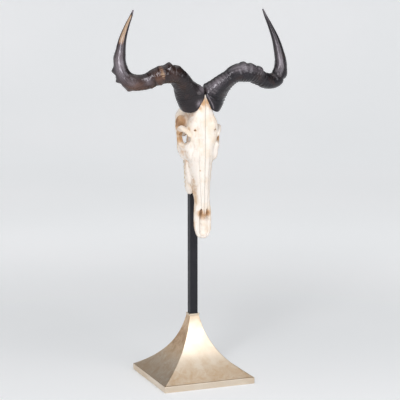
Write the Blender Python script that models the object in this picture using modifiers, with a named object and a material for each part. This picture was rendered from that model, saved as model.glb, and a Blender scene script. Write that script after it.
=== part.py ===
"""A hartebeest skull with its pair of horns, on a square post and a flared pedestal.

Metres, +Z up. The origin is on the floor, on the post's axis. The skull hangs nose down and faces -Y,
so the animal's right horn is the one at -X.
"""

import math

import bmesh
import bpy
import numpy as np
from mathutils import Matrix, Vector

# ---- Driving dimensions --------------------------------------------------------------------------
GAP = 0.0003  # left between pieces that touch
PAST = 0.010  # how far a cutter runs past the face that it opens

PLINTH_SIDE = 0.305
PLINTH_HEIGHT = 0.020
PLINTH_BEVEL = 0.0015
FLARE_TOP = 0.2055
FLARE_TOP_HALF = 0.0158
FLARE_BOTTOM_HALF = PLINTH_SIDE / 2 - 0.003
FLARE_FALL = 2.1  # how fast the flare's width falls away with height
FLARE_LEVELS = 14
COLLAR_HEIGHT = 0.006
COLLAR_HALF = 0.0170
COLLAR_BEVEL = 0.0008
SOCKET_DEPTH = 0.040

POST_SIDE = 0.0254
POST_WALL = 0.002
POST_BEVEL = 0.0012
PLATE_X, PLATE_Y, PLATE_THICK = 0.062, 0.030, 0.004
PLATE_TOP = 0.749
SCREW_OUT = 0.022
SCREW_SHANK_R, SCREW_HEAD_R, SCREW_HEAD_H, SCREW_LENGTH = 0.0025, 0.0048, 0.003, 0.022

# The horns' centreline on one side: (out, forward, up, half width, half depth), from the rim on the
# skull to the tip. Between these stations the horn runs on a smooth curve.
HORN_STATIONS = (
    (0.0290, 0.066, 0.886, 0.0370, 0.0410),
    (0.0365, 0.071, 0.907, 0.0395, 0.0415),
    (0.0460, 0.079, 0.930, 0.0400, 0.0395),
    (0.0585, 0.090, 0.951, 0.0365, 0.0360),
    (0.0745, 0.102, 0.969, 0.0325, 0.0325),
    (0.0920, 0.111, 0.983, 0.0292, 0.0298),
    (0.1100, 0.116, 0.990, 0.0288, 0.0288),
    (0.1390, 0.117, 0.990, 0.0285, 0.0285),
    (0.1630, 0.113, 0.983, 0.0270, 0.0270),
    (0.1890, 0.106, 0.971, 0.0250, 0.0250),
    (0.2200, 0.097, 0.966, 0.0250, 0.0250),
    (0.2470, 0.091, 0.975, 0.0255, 0.0250),
    (0.2630, 0.086, 0.999, 0.0230, 0.0225),
    (0.2670, 0.081, 1.029, 0.0192, 0.0190),
    (0.2630, 0.076, 1.060, 0.0160, 0.0160),
    (0.2540, 0.070, 1.097, 0.0120, 0.0120),
    (0.2380, 0.064, 1.136, 0.0076, 0.0076),
    (0.2240, 0.060, 1.165, 0.0044, 0.0044),
    (0.2160, 0.057, 1.184, 0.0012, 0.0012),
)
LEFT_DROOP = 0.010  # the animal's left horn hangs this much lower past the bend
DROOP_FROM = 0.50  # share of the horn's stations before it starts to
HORN_RINGS = 46
HORN_SIDES = 16
RIDGE_COUNT, RIDGE_HEIGHT, RIDGES_END = 13, 0.0011, 0.78  # ridges stop at this share of the length

# The face and cranium: (height, half width, front, back, squareness), from the nose up. Front and back
# are the -Y and +Y faces; squareness 2 is an ellipse, and more is boxier.
FACE_STATIONS = (
    (0.4740, 0.0090, -0.0945, -0.0830, 2.2),
    (0.4815, 0.0190, -0.0965, -0.0800, 2.4),
    (0.4950, 0.0255, -0.0965, -0.0760, 2.4),
    (0.5100, 0.0290, -0.0960, -0.0730, 2.4),
    (0.5300, 0.0313, -0.0965, -0.0690, 2.5),
    (0.5580, 0.0295, -0.1020, -0.0640, 2.5),
    (0.5900, 0.0283, -0.1040, -0.0560, 2.5),
    (0.6150, 0.0305, -0.1045, -0.0460, 2.4),
    (0.6500, 0.0350, -0.1055, -0.0350, 2.4),
    (0.6900, 0.0390, -0.1070, -0.0310, 2.4),
    (0.7200, 0.0430, -0.1080, -0.0300, 2.4),
    (0.7500, 0.0500, -0.1095, -0.0180, 2.5),
    (0.7900, 0.0535, -0.1110, 0.0100, 2.5),
    (0.8200, 0.0500, -0.1115, 0.0300, 2.5),
    (0.8480, 0.0430, -0.1115, 0.0400, 2.4),
    (0.8700, 0.0370, -0.1120, 0.0300, 2.3),
    (0.8860, 0.0260, -0.1120, 0.0000, 2.2),
    (0.9010, 0.0150, -0.1110, -0.0200, 2.0),
    (0.9120, 0.0060, -0.1080, -0.0400, 2.0),
)
FACE_SIDES = 40

ORBIT = Vector((0.0590, -0.0560, 0.7900))  # centre of the left eye socket's mouth
ORBIT_R = 0.0235
ORBIT_RIM_R = 0.0065
ORBIT_FORWARD = math.radians(34)  # how far the socket's mouth turns towards the front

# One side's cheek arch, from under the eye socket back to the ear: (out, forward, up).
CHEEK_ARCH = ((0.056, 0.062, 0.752), (0.066, 0.042, 0.764), (0.0685, 0.022, 0.792), (0.066, 0.012, 0.822),
              (0.058, 0.004, 0.845), (0.046, -0.008, 0.852))
CHEEK_ARCH_R = 0.0070
# The bar behind the eye socket, from the forehead down to the cheek arch.
EYE_BAR = ((0.052, 0.066, 0.828), (0.064, 0.048, 0.824), (0.068, 0.030, 0.812), (0.068, 0.020, 0.800))
EYE_BAR_R = 0.0075

# Cheek teeth on each side, from the front: name and length along the row.
TEETH = (("premolar_2", 0.0110), ("premolar_3", 0.0130), ("premolar_4", 0.0140), ("molar_1", 0.0160),
         ("molar_2", 0.0185), ("molar_3", 0.0195))
TOOTH_ROW_BOTTOM = 0.6230
TOOTH_OUT_FRONT, TOOTH_OUT_BACK = 0.0235, 0.0285  # the row's distance from the middle, at its two ends
TOOTH_WIDTH = 0.0130
TOOTH_SPACING = 0.0006
TOOTH_ROOT_Y, TOOTH_GUM_Y, TOOTH_EDGE_Y = -0.0300, -0.0215, -0.0070
RIDGE_WIDTH = 0.0185  # of the jaw ridge that the teeth stand in
RIDGE_DEEP = 0.062  # how far forward the ridge reaches into the face
PLATE_SEAT_MARGIN = 0.004  # cleared round the plate under the skull

VOXEL = 0.0028
SKULL_TRIANGLES = 3500

BONE = (0.86, 0.78, 0.64, 1)
MATERIALS = {
    "bone": (BONE, 0.55, 0.0),
    "tooth": ((0.80, 0.72, 0.56, 1), 0.35, 0.0),
    "horn": ((0.030, 0.022, 0.022, 1), 0.28, 0.0),
    "pedestal_metal": ((0.78, 0.68, 0.53, 1), 0.30, 1.0),
    "black_metal": ((0.020, 0.020, 0.024, 1), 0.42, 0.0),
    "screw_steel": ((0.55, 0.55, 0.56, 1), 0.35, 1.0),
}


# ---- Helpers -------------------------------------------------------------------------------------
def clear_scene():
    for obj in list(bpy.data.objects):
        bpy.data.objects.remove(obj)


def collection(name, hidden=False):
    made = bpy.data.collections.new(name)
    bpy.context.scene.collection.children.link(made)
    made.hide_render = hidden
    return made


def material(name):
    colour, roughness, metallic = MATERIALS[name]
    made = bpy.data.materials.get(name) or bpy.data.materials.new(name)
    made.use_nodes = True
    made.diffuse_color = colour
    shader = made.node_tree.nodes["Principled BSDF"]
    shader.inputs["Base Color"].default_value = colour
    shader.inputs["Roughness"].default_value = roughness
    shader.inputs["Metallic"].default_value = metallic
    return made


def add_object(name, mesh, where, material_name=None):
    obj = bpy.data.objects.new(name, mesh)
    where.objects.link(obj)
    if material_name:
        obj.data.materials.append(material(material_name))
    return obj


def mesh_from(bm, name):
    mesh = bpy.data.meshes.new(name)
    bmesh.ops.recalc_face_normals(bm, faces=bm.faces)
    bm.to_mesh(mesh)
    bm.free()
    return mesh


def helper(obj):
    """Marks a cutter or a building block, which isn't a piece of the object."""
    obj.hide_render = True
    obj.display_type = "WIRE"
    return obj


def box_mesh(name, low, high):
    low, high = Vector(low), Vector(high)
    bm = bmesh.new()
    bmesh.ops.create_cube(bm, size=1.0)
    bmesh.ops.scale(bm, vec=high - low, verts=bm.verts)
    bmesh.ops.translate(bm, vec=(low + high) / 2, verts=bm.verts)
    return mesh_from(bm, name)


def ellipsoid_mesh(name, centre, radii, turn=Matrix.Identity(3), segments=24):
    bm = bmesh.new()
    bmesh.ops.create_uvsphere(bm, u_segments=segments, v_segments=segments // 2, radius=1.0)
    for vert in bm.verts:
        vert.co = turn @ Vector(c * r for c, r in zip(vert.co, radii)) + Vector(centre)
    return mesh_from(bm, name)


def loft_mesh(name, rings):
    """A closed solid through rings of points, all with the same number of points, capped at both ends."""
    bm = bmesh.new()
    made = [[bm.verts.new(point) for point in ring] for ring in rings]
    for low, high in zip(made, made[1:]):
        count = len(low)
        for i in range(count):
            bm.faces.new((low[i], low[(i + 1) % count], high[(i + 1) % count], high[i]))
    for ring in (made[0], made[-1]):
        middle = bm.verts.new(sum((v.co for v in ring), Vector()) / len(ring))
        for i in range(len(ring)):
            bm.faces.new((ring[i], ring[(i + 1) % len(ring)], middle))
    return mesh_from(bm, name)


def smooth_rows(rows, count):
    """Rows of numbers read at count even steps from a Catmull-Rom curve through them."""
    rows = np.array(rows, float)
    padded = np.vstack([2 * rows[0] - rows[1], rows, 2 * rows[-1] - rows[-2]])
    made = []
    for t in np.linspace(0, len(rows) - 1, count):
        i = min(int(t), len(rows) - 2)
        u = t - i
        a, b, c, d = padded[i:i + 4]
        made.append(b + u / 2 * (c - a + u * (2 * a - 5 * b + 4 * c - d + u * (3 * (b - c) + d - a))))
    return np.array(made)


def tube_mesh(name, points, radius, sides=3):
    """A round tube with filled caps along a smooth curve through the points, as a welded mesh."""
    curve = bpy.data.curves.new(name, "CURVE")
    curve.dimensions = "3D"
    curve.bevel_depth = radius
    curve.bevel_resolution = sides
    curve.use_fill_caps = True
    spline = curve.splines.new("POLY")
    route = smooth_rows(points, 4 * len(points))
    spline.points.add(len(route) - 1)
    for point, place in zip(spline.points, route):
        point.co = (*place, 1)
    obj = bpy.data.objects.new(name, curve)
    bpy.context.scene.collection.objects.link(obj)
    mesh = bpy.data.meshes.new_from_object(obj.evaluated_get(bpy.context.evaluated_depsgraph_get()))
    bpy.data.objects.remove(obj)
    bm = bmesh.new()
    bm.from_mesh(mesh)
    bmesh.ops.remove_doubles(bm, verts=bm.verts, dist=1e-5)
    return mesh_from(bm, name)


def joined(name, meshes, where):
    """One object that holds copies of the meshes, with no join between them."""
    bm = bmesh.new()
    for mesh in meshes:
        bm.from_mesh(mesh)
    mesh = bpy.data.meshes.new(name)
    bm.to_mesh(mesh)
    bm.free()
    return add_object(name, mesh, where)


def apply_modifiers(obj):
    graph = bpy.context.evaluated_depsgraph_get()
    mesh = bpy.data.meshes.new_from_object(obj.evaluated_get(graph))
    obj.modifiers.clear()
    obj.data = mesh
    return obj


def cut(obj, cutter, apply=True):
    """A cutter of several overlapping shapes works on itself first, as one solid."""
    modifier = obj.modifiers.new("cut " + cutter.name, "BOOLEAN")
    modifier.operation = "DIFFERENCE"
    modifier.use_self = True
    modifier.object = helper(cutter)
    return apply_modifiers(obj) if apply else obj


def placed(route):
    """Points given as (out, forward, up), as (x, y, z)."""
    return tuple((out, -forward, up) for out, forward, up in route)


def shade(obj, angle=35):
    obj.data.shade_smooth()
    obj.data.set_sharp_from_angle(angle=math.radians(angle))
    return obj


# ---- Stand ---------------------------------------------------------------------------------------
def plinth(parts):
    half = PLINTH_SIDE / 2
    mesh = box_mesh("base_plinth", (-half, -half, 0), (half, half, PLINTH_HEIGHT))
    obj = add_object("base_plinth", mesh, parts, "pedestal_metal")
    bevel = obj.modifiers.new("edge", "BEVEL")
    bevel.width = PLINTH_BEVEL
    bevel.segments = 2
    return obj


def flare_half_width(share):
    """Half the flare's width at a share of its height: it falls fast above the plinth, then slower."""
    fall = (math.exp(-FLARE_FALL * share) - math.exp(-FLARE_FALL)) / (1 - math.exp(-FLARE_FALL))
    return FLARE_TOP_HALF + (FLARE_BOTTOM_HALF - FLARE_TOP_HALF) * fall


def flare(parts, cutters):
    """The concave four-sided pedestal: a profile at its corner, turned in four steps."""
    bottom = PLINTH_HEIGHT + GAP
    bm = bmesh.new()
    profile = [bm.verts.new((0, 0, FLARE_TOP))]
    for level in range(FLARE_LEVELS + 1):
        share = 1 - level / FLARE_LEVELS
        corner = flare_half_width(share) * math.sqrt(2)
        profile.append(bm.verts.new((corner, 0, bottom + (FLARE_TOP - bottom) * share)))
    profile.append(bm.verts.new((0, 0, bottom)))
    for first, second in zip(profile, profile[1:]):
        bm.edges.new((first, second))
    mesh = bpy.data.meshes.new("base_flare")
    bm.to_mesh(mesh)
    bm.free()
    obj = add_object("base_flare", mesh, parts, "pedestal_metal")
    obj.rotation_euler.z = math.radians(45)
    screw = obj.modifiers.new("turn", "SCREW")
    screw.steps = screw.render_steps = 4
    screw.use_merge_vertices = True
    screw.merge_threshold = 0.0001
    bpy.context.view_layer.update()
    side = POST_SIDE / 2 + GAP
    low = FLARE_TOP - SOCKET_DEPTH - GAP
    socket = box_mesh("post_socket", (-side, -side, low), (side, side, FLARE_TOP + PAST))
    cut(obj, add_object("post_socket", socket, cutters), apply=False)
    return obj


def collar(parts, cutters):
    low = FLARE_TOP + GAP
    high = low + COLLAR_HEIGHT
    mesh = box_mesh("base_collar", (-COLLAR_HALF, -COLLAR_HALF, low), (COLLAR_HALF, COLLAR_HALF, high))
    obj = add_object("base_collar", mesh, parts, "pedestal_metal")
    bevel = obj.modifiers.new("edge", "BEVEL")
    bevel.width = COLLAR_BEVEL
    bevel.segments = 2
    side = POST_SIDE / 2 + GAP
    hole = box_mesh("collar_hole", (-side, -side, low - PAST), (side, side, high + PAST))
    cut(obj, add_object("collar_hole", hole, cutters), apply=False)
    return obj


def post(parts, cutters):
    half = POST_SIDE / 2
    low, high = FLARE_TOP - SOCKET_DEPTH, PLATE_TOP - PLATE_THICK - GAP
    obj = add_object("post", box_mesh("post", (-half, -half, low), (half, half, high)), parts, "black_metal")
    bevel = obj.modifiers.new("edge", "BEVEL")
    bevel.width = POST_BEVEL
    bevel.segments = 2
    inner = half - POST_WALL
    bore = box_mesh("post_bore", (-inner, -inner, low - PAST), (inner, inner, high + PAST))
    cut(obj, add_object("post_bore", bore, cutters), apply=False)
    return obj


def screw_mesh(name, grow=0.0):
    """A pan-head screw, its head's seat at z = 0 and its shank up, or a larger copy to cut its hole."""
    profile = (
        (SCREW_SHANK_R + grow, SCREW_LENGTH + grow),
        (SCREW_SHANK_R + grow, 0),
        (SCREW_HEAD_R + grow, 0),
        (SCREW_HEAD_R + grow, -SCREW_HEAD_H * 0.6),
        (SCREW_HEAD_R * 0.6 + grow, -SCREW_HEAD_H),
    )
    sides = 16
    rings = []
    for radius, height in profile:
        turns = [2 * math.pi * i / sides for i in range(sides)]
        rings.append([(radius * math.cos(a), radius * math.sin(a), height) for a in turns])
    return loft_mesh(name, rings)


def mounting_plate(parts, cutters):
    low = PLATE_TOP - PLATE_THICK
    half_x, half_y = PLATE_X / 2, PLATE_Y / 2
    mesh = box_mesh("mounting_plate", (-half_x, -half_y, low), (half_x, half_y, PLATE_TOP))
    obj = add_object("mounting_plate", mesh, parts, "black_metal")
    for side in (-1, 1):
        name = "plate_hole_" + ("right" if side < 0 else "left")
        hole = add_object(name, screw_mesh(name, GAP), cutters)
        hole.location = (side * SCREW_OUT, 0, low - GAP)
        bpy.context.view_layer.update()
        cut(obj, hole, apply=False)
    return obj


def plate_screws(parts):
    for side, name in ((-1, "plate_screw_right"), (1, "plate_screw_left")):
        obj = add_object(name, screw_mesh(name), parts, "screw_steel")
        obj.location = (side * SCREW_OUT, 0, PLATE_TOP - PLATE_THICK - GAP)
        shade(obj)


# ---- Horns ---------------------------------------------------------------------------------------
def horn_rings(side, grow=0.0, end=1.0, start_back=0.0):
    """Rings of points round the horn. side is -1 for the animal's right horn. grow widens it, end stops
    it short, and start_back moves its rim back along its axis."""
    rows = smooth_rows(HORN_STATIONS, HORN_RINGS)
    places = rows[:, :3] * (side, -1, 1)
    along = np.gradient(places, axis=0)
    along /= np.linalg.norm(along, axis=1)[:, None]
    shares = np.linspace(0, 1, HORN_RINGS)
    if side > 0:
        past = np.clip((shares - DROOP_FROM) / (1 - DROOP_FROM), 0, 1)
        places[:, 2] -= LEFT_DROOP * np.sin(math.pi * past ** 0.7)
    places[0] -= along[0] * start_back
    rings = []
    depth_axis = Vector((0, -1, 0))
    for place, direction, row, share in zip(places, along, rows, shares):
        if share > end:
            break
        direction = Vector(direction)
        depth_axis = (depth_axis - direction * depth_axis.dot(direction)).normalized()
        width_axis = direction.cross(depth_axis)
        fade = max(0.0, 1 - share / RIDGES_END)
        ridge = RIDGE_HEIGHT * fade ** 0.5 * math.cos(2 * math.pi * RIDGE_COUNT * share / RIDGES_END)
        width, depth = row[3] + ridge + grow, row[4] + ridge + grow
        ring = []
        for i in range(HORN_SIDES):
            angle = 2 * math.pi * i / HORN_SIDES
            across = width_axis * (width * math.cos(angle))
            ring.append(Vector(place) + across + depth_axis * (depth * math.sin(angle)))
        rings.append(ring)
    return rings


def trim_middle(obj, side, cutters):
    """Cuts the horn flat where it would cross the skull's middle plane."""
    low, high = (-GAP, 0.1) if side < 0 else (-0.1, GAP)
    half = box_mesh("middle_" + obj.name, (low, -0.2, 0.8), (high, 0.1, 1.2))
    return cut(obj, add_object("middle_" + obj.name, half, cutters))


def horns(parts, cutters):
    for side, name in ((-1, "horn_right"), (1, "horn_left")):
        obj = add_object(name, loft_mesh(name, horn_rings(side)), parts, "horn")
        trim_middle(obj, side, cutters)
        shade(obj, 60)


# ---- Skull ---------------------------------------------------------------------------------------
def face_rings():
    rings = []
    for up, half, front, back, square in smooth_rows(FACE_STATIONS, 2 * len(FACE_STATIONS)):
        middle, deep = (front + back) / 2, (back - front) / 2
        ring = []
        for i in range(FACE_SIDES):
            angle = 2 * math.pi * i / FACE_SIDES
            across, along = math.cos(angle), math.sin(angle)
            x = math.copysign(abs(across) ** (2 / square), across)
            y = math.copysign(abs(along) ** (2 / square), along)
            narrow = 1 - 0.12 * max(0.0, -y)  # the front is a little narrower than the jaw side
            ring.append((half * x * narrow, middle + deep * y, up))
        rings.append(ring)
    return rings


def orbit_turn(side):
    """Turns +Z to point out of the eye socket."""
    outward = Vector((side * math.cos(ORBIT_FORWARD), -math.sin(ORBIT_FORWARD), 0.05))
    return outward.to_track_quat("Z", "Y").to_matrix()


def orbit_rim(side):
    """The raised ring round the eye socket."""
    turn = orbit_turn(side)
    centre = Vector((side * ORBIT.x, ORBIT.y, ORBIT.z))
    points = []
    for i in range(13):
        angle = 2 * math.pi * i / 12
        place = Vector((ORBIT_R * math.cos(angle), ORBIT_R * 1.08 * math.sin(angle), 0))
        points.append(centre + turn @ place)
    return tube_mesh("orbit_rim", points, ORBIT_RIM_R)


def jaw_ridge(side):
    """The ridge of the upper jaw that the cheek teeth stand in."""
    top = TOOTH_ROW_BOTTOM + sum(length + TOOTH_SPACING for _, length in TEETH)
    rings = []
    for share, swell in ((-0.12, 0.35), (0.0, 0.85), (0.5, 1.0), (1.0, 0.95), (1.12, 0.5)):
        up = TOOTH_ROW_BOTTOM + (top - TOOTH_ROW_BOTTOM) * share
        out = side * (TOOTH_OUT_FRONT + (TOOTH_OUT_BACK - TOOTH_OUT_FRONT) * min(max(share, 0), 1))
        half = RIDGE_WIDTH / 2 * (0.6 + 0.4 * swell)
        edge = TOOTH_GUM_Y - 0.008 * (1 - swell)
        ring = []
        for i in range(16):
            angle = 2 * math.pi * i / 16
            y = (edge - RIDGE_DEEP) / 2 + (edge + RIDGE_DEEP) / 2 * math.sin(angle)
            ring.append((out + half * math.cos(angle), y, up))
        rings.append(ring)
    return loft_mesh("jaw_ridge", rings)


def skull_blocks():
    """The shapes that the skull grows together from."""
    blocks = [
        loft_mesh("face", face_rings()),
        ellipsoid_mesh("braincase", (0, -0.004, 0.835), (0.046, 0.060, 0.056)),
        ellipsoid_mesh("horn_pedicle", (0, -0.056, 0.886), (0.044, 0.036, 0.034)),
        ellipsoid_mesh("occiput", (0, 0.036, 0.842), (0.040, 0.022, 0.046)),
        ellipsoid_mesh("skull_base", (0, 0.010, 0.776), (0.026, 0.050, 0.030)),
        ellipsoid_mesh("palate_root", (0, -0.045, 0.740), (0.034, 0.030, 0.036)),
    ]
    for side in (-1, 1):
        arch = [(side * x, y, z) for x, y, z in placed(CHEEK_ARCH)]
        bar = [(side * x, y, z) for x, y, z in placed(EYE_BAR)]
        blocks += [
            orbit_rim(side),
            tube_mesh("cheek_arch", arch, CHEEK_ARCH_R),
            tube_mesh("eye_bar", bar, EYE_BAR_R),
            jaw_ridge(side),
            ellipsoid_mesh("condyle", (side * 0.0165, 0.056, 0.796), (0.0115, 0.0140, 0.0170)),
            ellipsoid_mesh("ear_bulla", (side * 0.0290, 0.020, 0.778), (0.0105, 0.0150, 0.0170)),
            ellipsoid_mesh("neck_process", (side * 0.0380, 0.038, 0.780), (0.0070, 0.0080, 0.0260)),
            ellipsoid_mesh("cheekbone", (side * 0.0480, -0.062, 0.744), (0.0120, 0.0260, 0.0240)),
        ]
    return blocks


def skull_hollows():
    """The hollows in it: eye sockets, nose, palate, back of the nose, temples and spinal opening."""
    hollows = [
        ellipsoid_mesh("nose", (0, -0.1020, 0.5240), (0.0165, 0.0160, 0.0330)),
        ellipsoid_mesh("nose_floor", (0, -0.0850, 0.5400), (0.0120, 0.0100, 0.0200)),
        ellipsoid_mesh("palate", (0, -0.0160, 0.6650), (0.0190, 0.0190, 0.0850)),
        ellipsoid_mesh("choana", (0, -0.0270, 0.7180), (0.0140, 0.0160, 0.0240)),
        ellipsoid_mesh("spinal_opening", (0, 0.0600, 0.8130), (0.0125, 0.0240, 0.0125)),
    ]
    for side in (-1, 1):
        centre = (side * (ORBIT.x - 0.006), ORBIT.y + 0.004, ORBIT.z)
        hollows.append(ellipsoid_mesh("eye_socket", centre, (0.0205, 0.0215, 0.0260), orbit_turn(side)))
        hollows.append(ellipsoid_mesh("temple", (side * 0.0560, -0.0140, 0.8080), (0.0110, 0.0220, 0.0280)))
    return hollows


def tooth_centres():
    """(name, side, middle of the tooth along the row, distance out, length) for every cheek tooth."""
    whole = sum(length for _, length in TEETH)
    for side, side_name in ((-1, "right"), (1, "left")):
        up = TOOTH_ROW_BOTTOM
        for name, length in TEETH:
            share = (up + length / 2 - TOOTH_ROW_BOTTOM) / whole
            out = TOOTH_OUT_FRONT + (TOOTH_OUT_BACK - TOOTH_OUT_FRONT) * share
            yield f"{name}_{side_name}", side * out, up + length / 2, length
            up += length + TOOTH_SPACING


def tooth_mesh(name, out, up, length, grow=0.0):
    """A cheek tooth: a squarish column from its root in the jaw to its worn edge."""
    rings = []
    crown_y = (TOOTH_GUM_Y + TOOTH_EDGE_Y) / 2
    levels = ((TOOTH_ROOT_Y - grow, 0.90), (TOOTH_GUM_Y, 0.96), (crown_y, 1.0), (TOOTH_EDGE_Y, 0.90))
    for y, swell in levels:
        ring = []
        for i in range(12):
            angle = 2 * math.pi * (i + 0.5) / 12
            across, along = math.cos(angle), math.sin(angle)
            x = math.copysign(abs(across) ** 0.6, across) * (TOOTH_WIDTH / 2 * swell + grow)
            z = math.copysign(abs(along) ** 0.6, along) * (length / 2 * swell + grow)
            ring.append((out + x, y, up + z))
        rings.append(ring)
    return loft_mesh(name, rings)


def skull(parts, cutters):
    obj = joined("skull", skull_blocks(), parts)
    remesh = obj.modifiers.new("grow_together", "REMESH")
    remesh.mode = "VOXEL"
    remesh.voxel_size = VOXEL
    apply_modifiers(obj)
    cut(obj, joined("skull_hollows", skull_hollows(), cutters))
    remesh = obj.modifiers.new("round_edges", "REMESH")
    remesh.mode = "VOXEL"
    remesh.voxel_size = VOXEL
    smooth = obj.modifiers.new("soften", "SMOOTH")
    smooth.factor = 0.5
    smooth.iterations = 3
    apply_modifiers(obj)
    obj.data.calc_loop_triangles()
    fewer = obj.modifiers.new("fewer_faces", "DECIMATE")
    fewer.ratio = SKULL_TRIANGLES / len(obj.data.loop_triangles)
    apply_modifiers(obj)
    for side, name in ((-1, "seat_right"), (1, "seat_left")):
        seat = loft_mesh(name, horn_rings(side, grow=GAP * 1.5, end=0.5, start_back=GAP * 1.5))
        cut(obj, add_object(name, seat, cutters))
    sockets = [tooth_mesh(name, out, up, length, GAP / 1.2) for name, out, up, length in tooth_centres()]
    for i, mesh in enumerate(sockets):
        cut(obj, add_object(f"tooth_socket_{i}", mesh, cutters))
    half_x, half_y = PLATE_X / 2 + PLATE_SEAT_MARGIN, PLATE_Y / 2 + PLATE_SEAT_MARGIN
    seat = box_mesh("plate_seat", (-half_x, -half_y, PLATE_TOP - 0.050), (half_x, 0.060, PLATE_TOP + GAP))
    cut(obj, add_object("plate_seat", seat, cutters))
    for side in (-1, 1):
        name = "screw_hole_" + ("right" if side < 0 else "left")
        hole = add_object(name, screw_mesh(name, GAP), cutters)
        hole.location = (side * SCREW_OUT, 0, PLATE_TOP - PLATE_THICK - GAP)
        bpy.context.view_layer.update()
        cut(obj, hole)
    obj.data.materials.clear()
    obj.data.materials.append(material("bone"))
    return shade(obj, 50)


def teeth(parts):
    for name, out, up, length in tooth_centres():
        shade(add_object(name, tooth_mesh(name, out, up, length), parts, "tooth"))


def main():
    clear_scene()
    parts = collection("mounted_antelope_skull")
    cutters = collection("cutters", hidden=True)
    plinth(parts)
    flare(parts, cutters)
    collar(parts, cutters)
    post(parts, cutters)
    mounting_plate(parts, cutters)
    plate_screws(parts)
    horns(parts, cutters)
    skull(parts, cutters)
    teeth(parts)


main()
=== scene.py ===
"""The looks of a mounted antelope skull: bone, horns, cheek teeth, and the leafed pedestal that holds it.

Metres, +Z up. The skull hangs nose down and faces -Y. Places on it are given as (out, forward, up): out from
the middle plane, forward from the post's axis, and up from the floor. The tables for the skull and horns, and
the shapes that the skull is joined from, are in millimetres.
"""

import math

import bmesh
import bpy
import numpy as np
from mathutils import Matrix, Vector


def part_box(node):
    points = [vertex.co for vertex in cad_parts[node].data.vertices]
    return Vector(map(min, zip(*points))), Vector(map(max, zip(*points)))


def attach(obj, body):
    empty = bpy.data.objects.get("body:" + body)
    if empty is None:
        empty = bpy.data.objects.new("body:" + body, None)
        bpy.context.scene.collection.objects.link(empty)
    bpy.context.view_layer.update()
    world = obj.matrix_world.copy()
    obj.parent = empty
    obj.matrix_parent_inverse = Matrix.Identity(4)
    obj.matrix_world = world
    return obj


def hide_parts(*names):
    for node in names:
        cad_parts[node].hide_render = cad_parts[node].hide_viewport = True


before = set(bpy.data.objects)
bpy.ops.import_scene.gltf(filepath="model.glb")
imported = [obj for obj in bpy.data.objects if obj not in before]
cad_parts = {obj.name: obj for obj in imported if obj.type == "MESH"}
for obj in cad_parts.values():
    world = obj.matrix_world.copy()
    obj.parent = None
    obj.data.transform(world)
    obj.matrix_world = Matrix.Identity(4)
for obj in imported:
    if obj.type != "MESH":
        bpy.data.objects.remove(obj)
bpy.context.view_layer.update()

MM = 0.001  # a millimetre, in the scene's metres

# ---- Camera and studio ----
CAMERA_PLACE = (-1.6345, -4.1927, 1.2852)
CAMERA_YAW, CAMERA_PITCH = math.radians(21.6), math.radians(8.91)
CAMERA_ANGLE = math.radians(15.954)
PAPER_GLOW_NEAR, PAPER_GLOW_FAR = 0.30, 0.74  # light through the paper, by the stand and far from it

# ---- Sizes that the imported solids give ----
PLINTH_LOW, PLINTH_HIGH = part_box("base_plinth")
FLARE_LOW, FLARE_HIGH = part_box("base_flare")
COLLAR_LOW, COLLAR_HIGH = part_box("base_collar")
POST_LOW, POST_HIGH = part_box("post")
PLATE_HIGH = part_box("mounting_plate")[1]

# ---- Horns ----
# The centreline: (out, forward, up, half width, half depth), from the rim on the skull to the tip.
HORN_STATIONS = (
    (29, 66, 886, 37, 41),
    (36.5, 71, 907, 39.5, 41.5),
    (46, 79, 930, 40, 39.5),
    (58.5, 90, 951, 36.5, 36),
    (74.5, 102, 969, 32.5, 32.5),
    (92, 111, 983, 29.2, 29.8),
    (110, 116, 990, 28.8, 28.8),
    (139, 117, 990, 28.5, 28.5),
    (163, 113, 983, 27, 27),
    (189, 106, 971, 25, 25),
    (220, 97, 966, 25, 25),
    (247, 91, 975, 25.5, 25),
    (263, 86, 999, 23, 22.5),
    (267, 81, 1029, 19.2, 19),
    (263, 76, 1060, 16, 16),
    (254, 70, 1097, 12, 12),
    (238, 64, 1136, 7.6, 7.6),
    (223.5, 60, 1165, 4.6, 4.6),
    (215, 57, 1184, 2.1, 2.1),
)
LAST_STATION = len(HORN_STATIONS) - 1
LEFT_DROOP, DROOP_FROM = 0.010, 0.50  # the left horn's outer part hangs lower
HORN_RINGS, HORN_SIDES = 440, 112
MIDDLE_GAP, PRESS_FROM = 0.0004, 0.0040  # between each base and the middle plane, and where flattening starts
RING_PITCH = {-1: 0.0082, 1: 0.0105}  # from one growth ring to the next, on each side
SECTION_TWIST, TWIST_ANGLE, NECK_SLIMMING = 0.0042, 135, 0.0016  # the base's section is a slanted oval
FURROW_LENGTH = 0.0042  # from one fine furrow to the next, near the base

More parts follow.
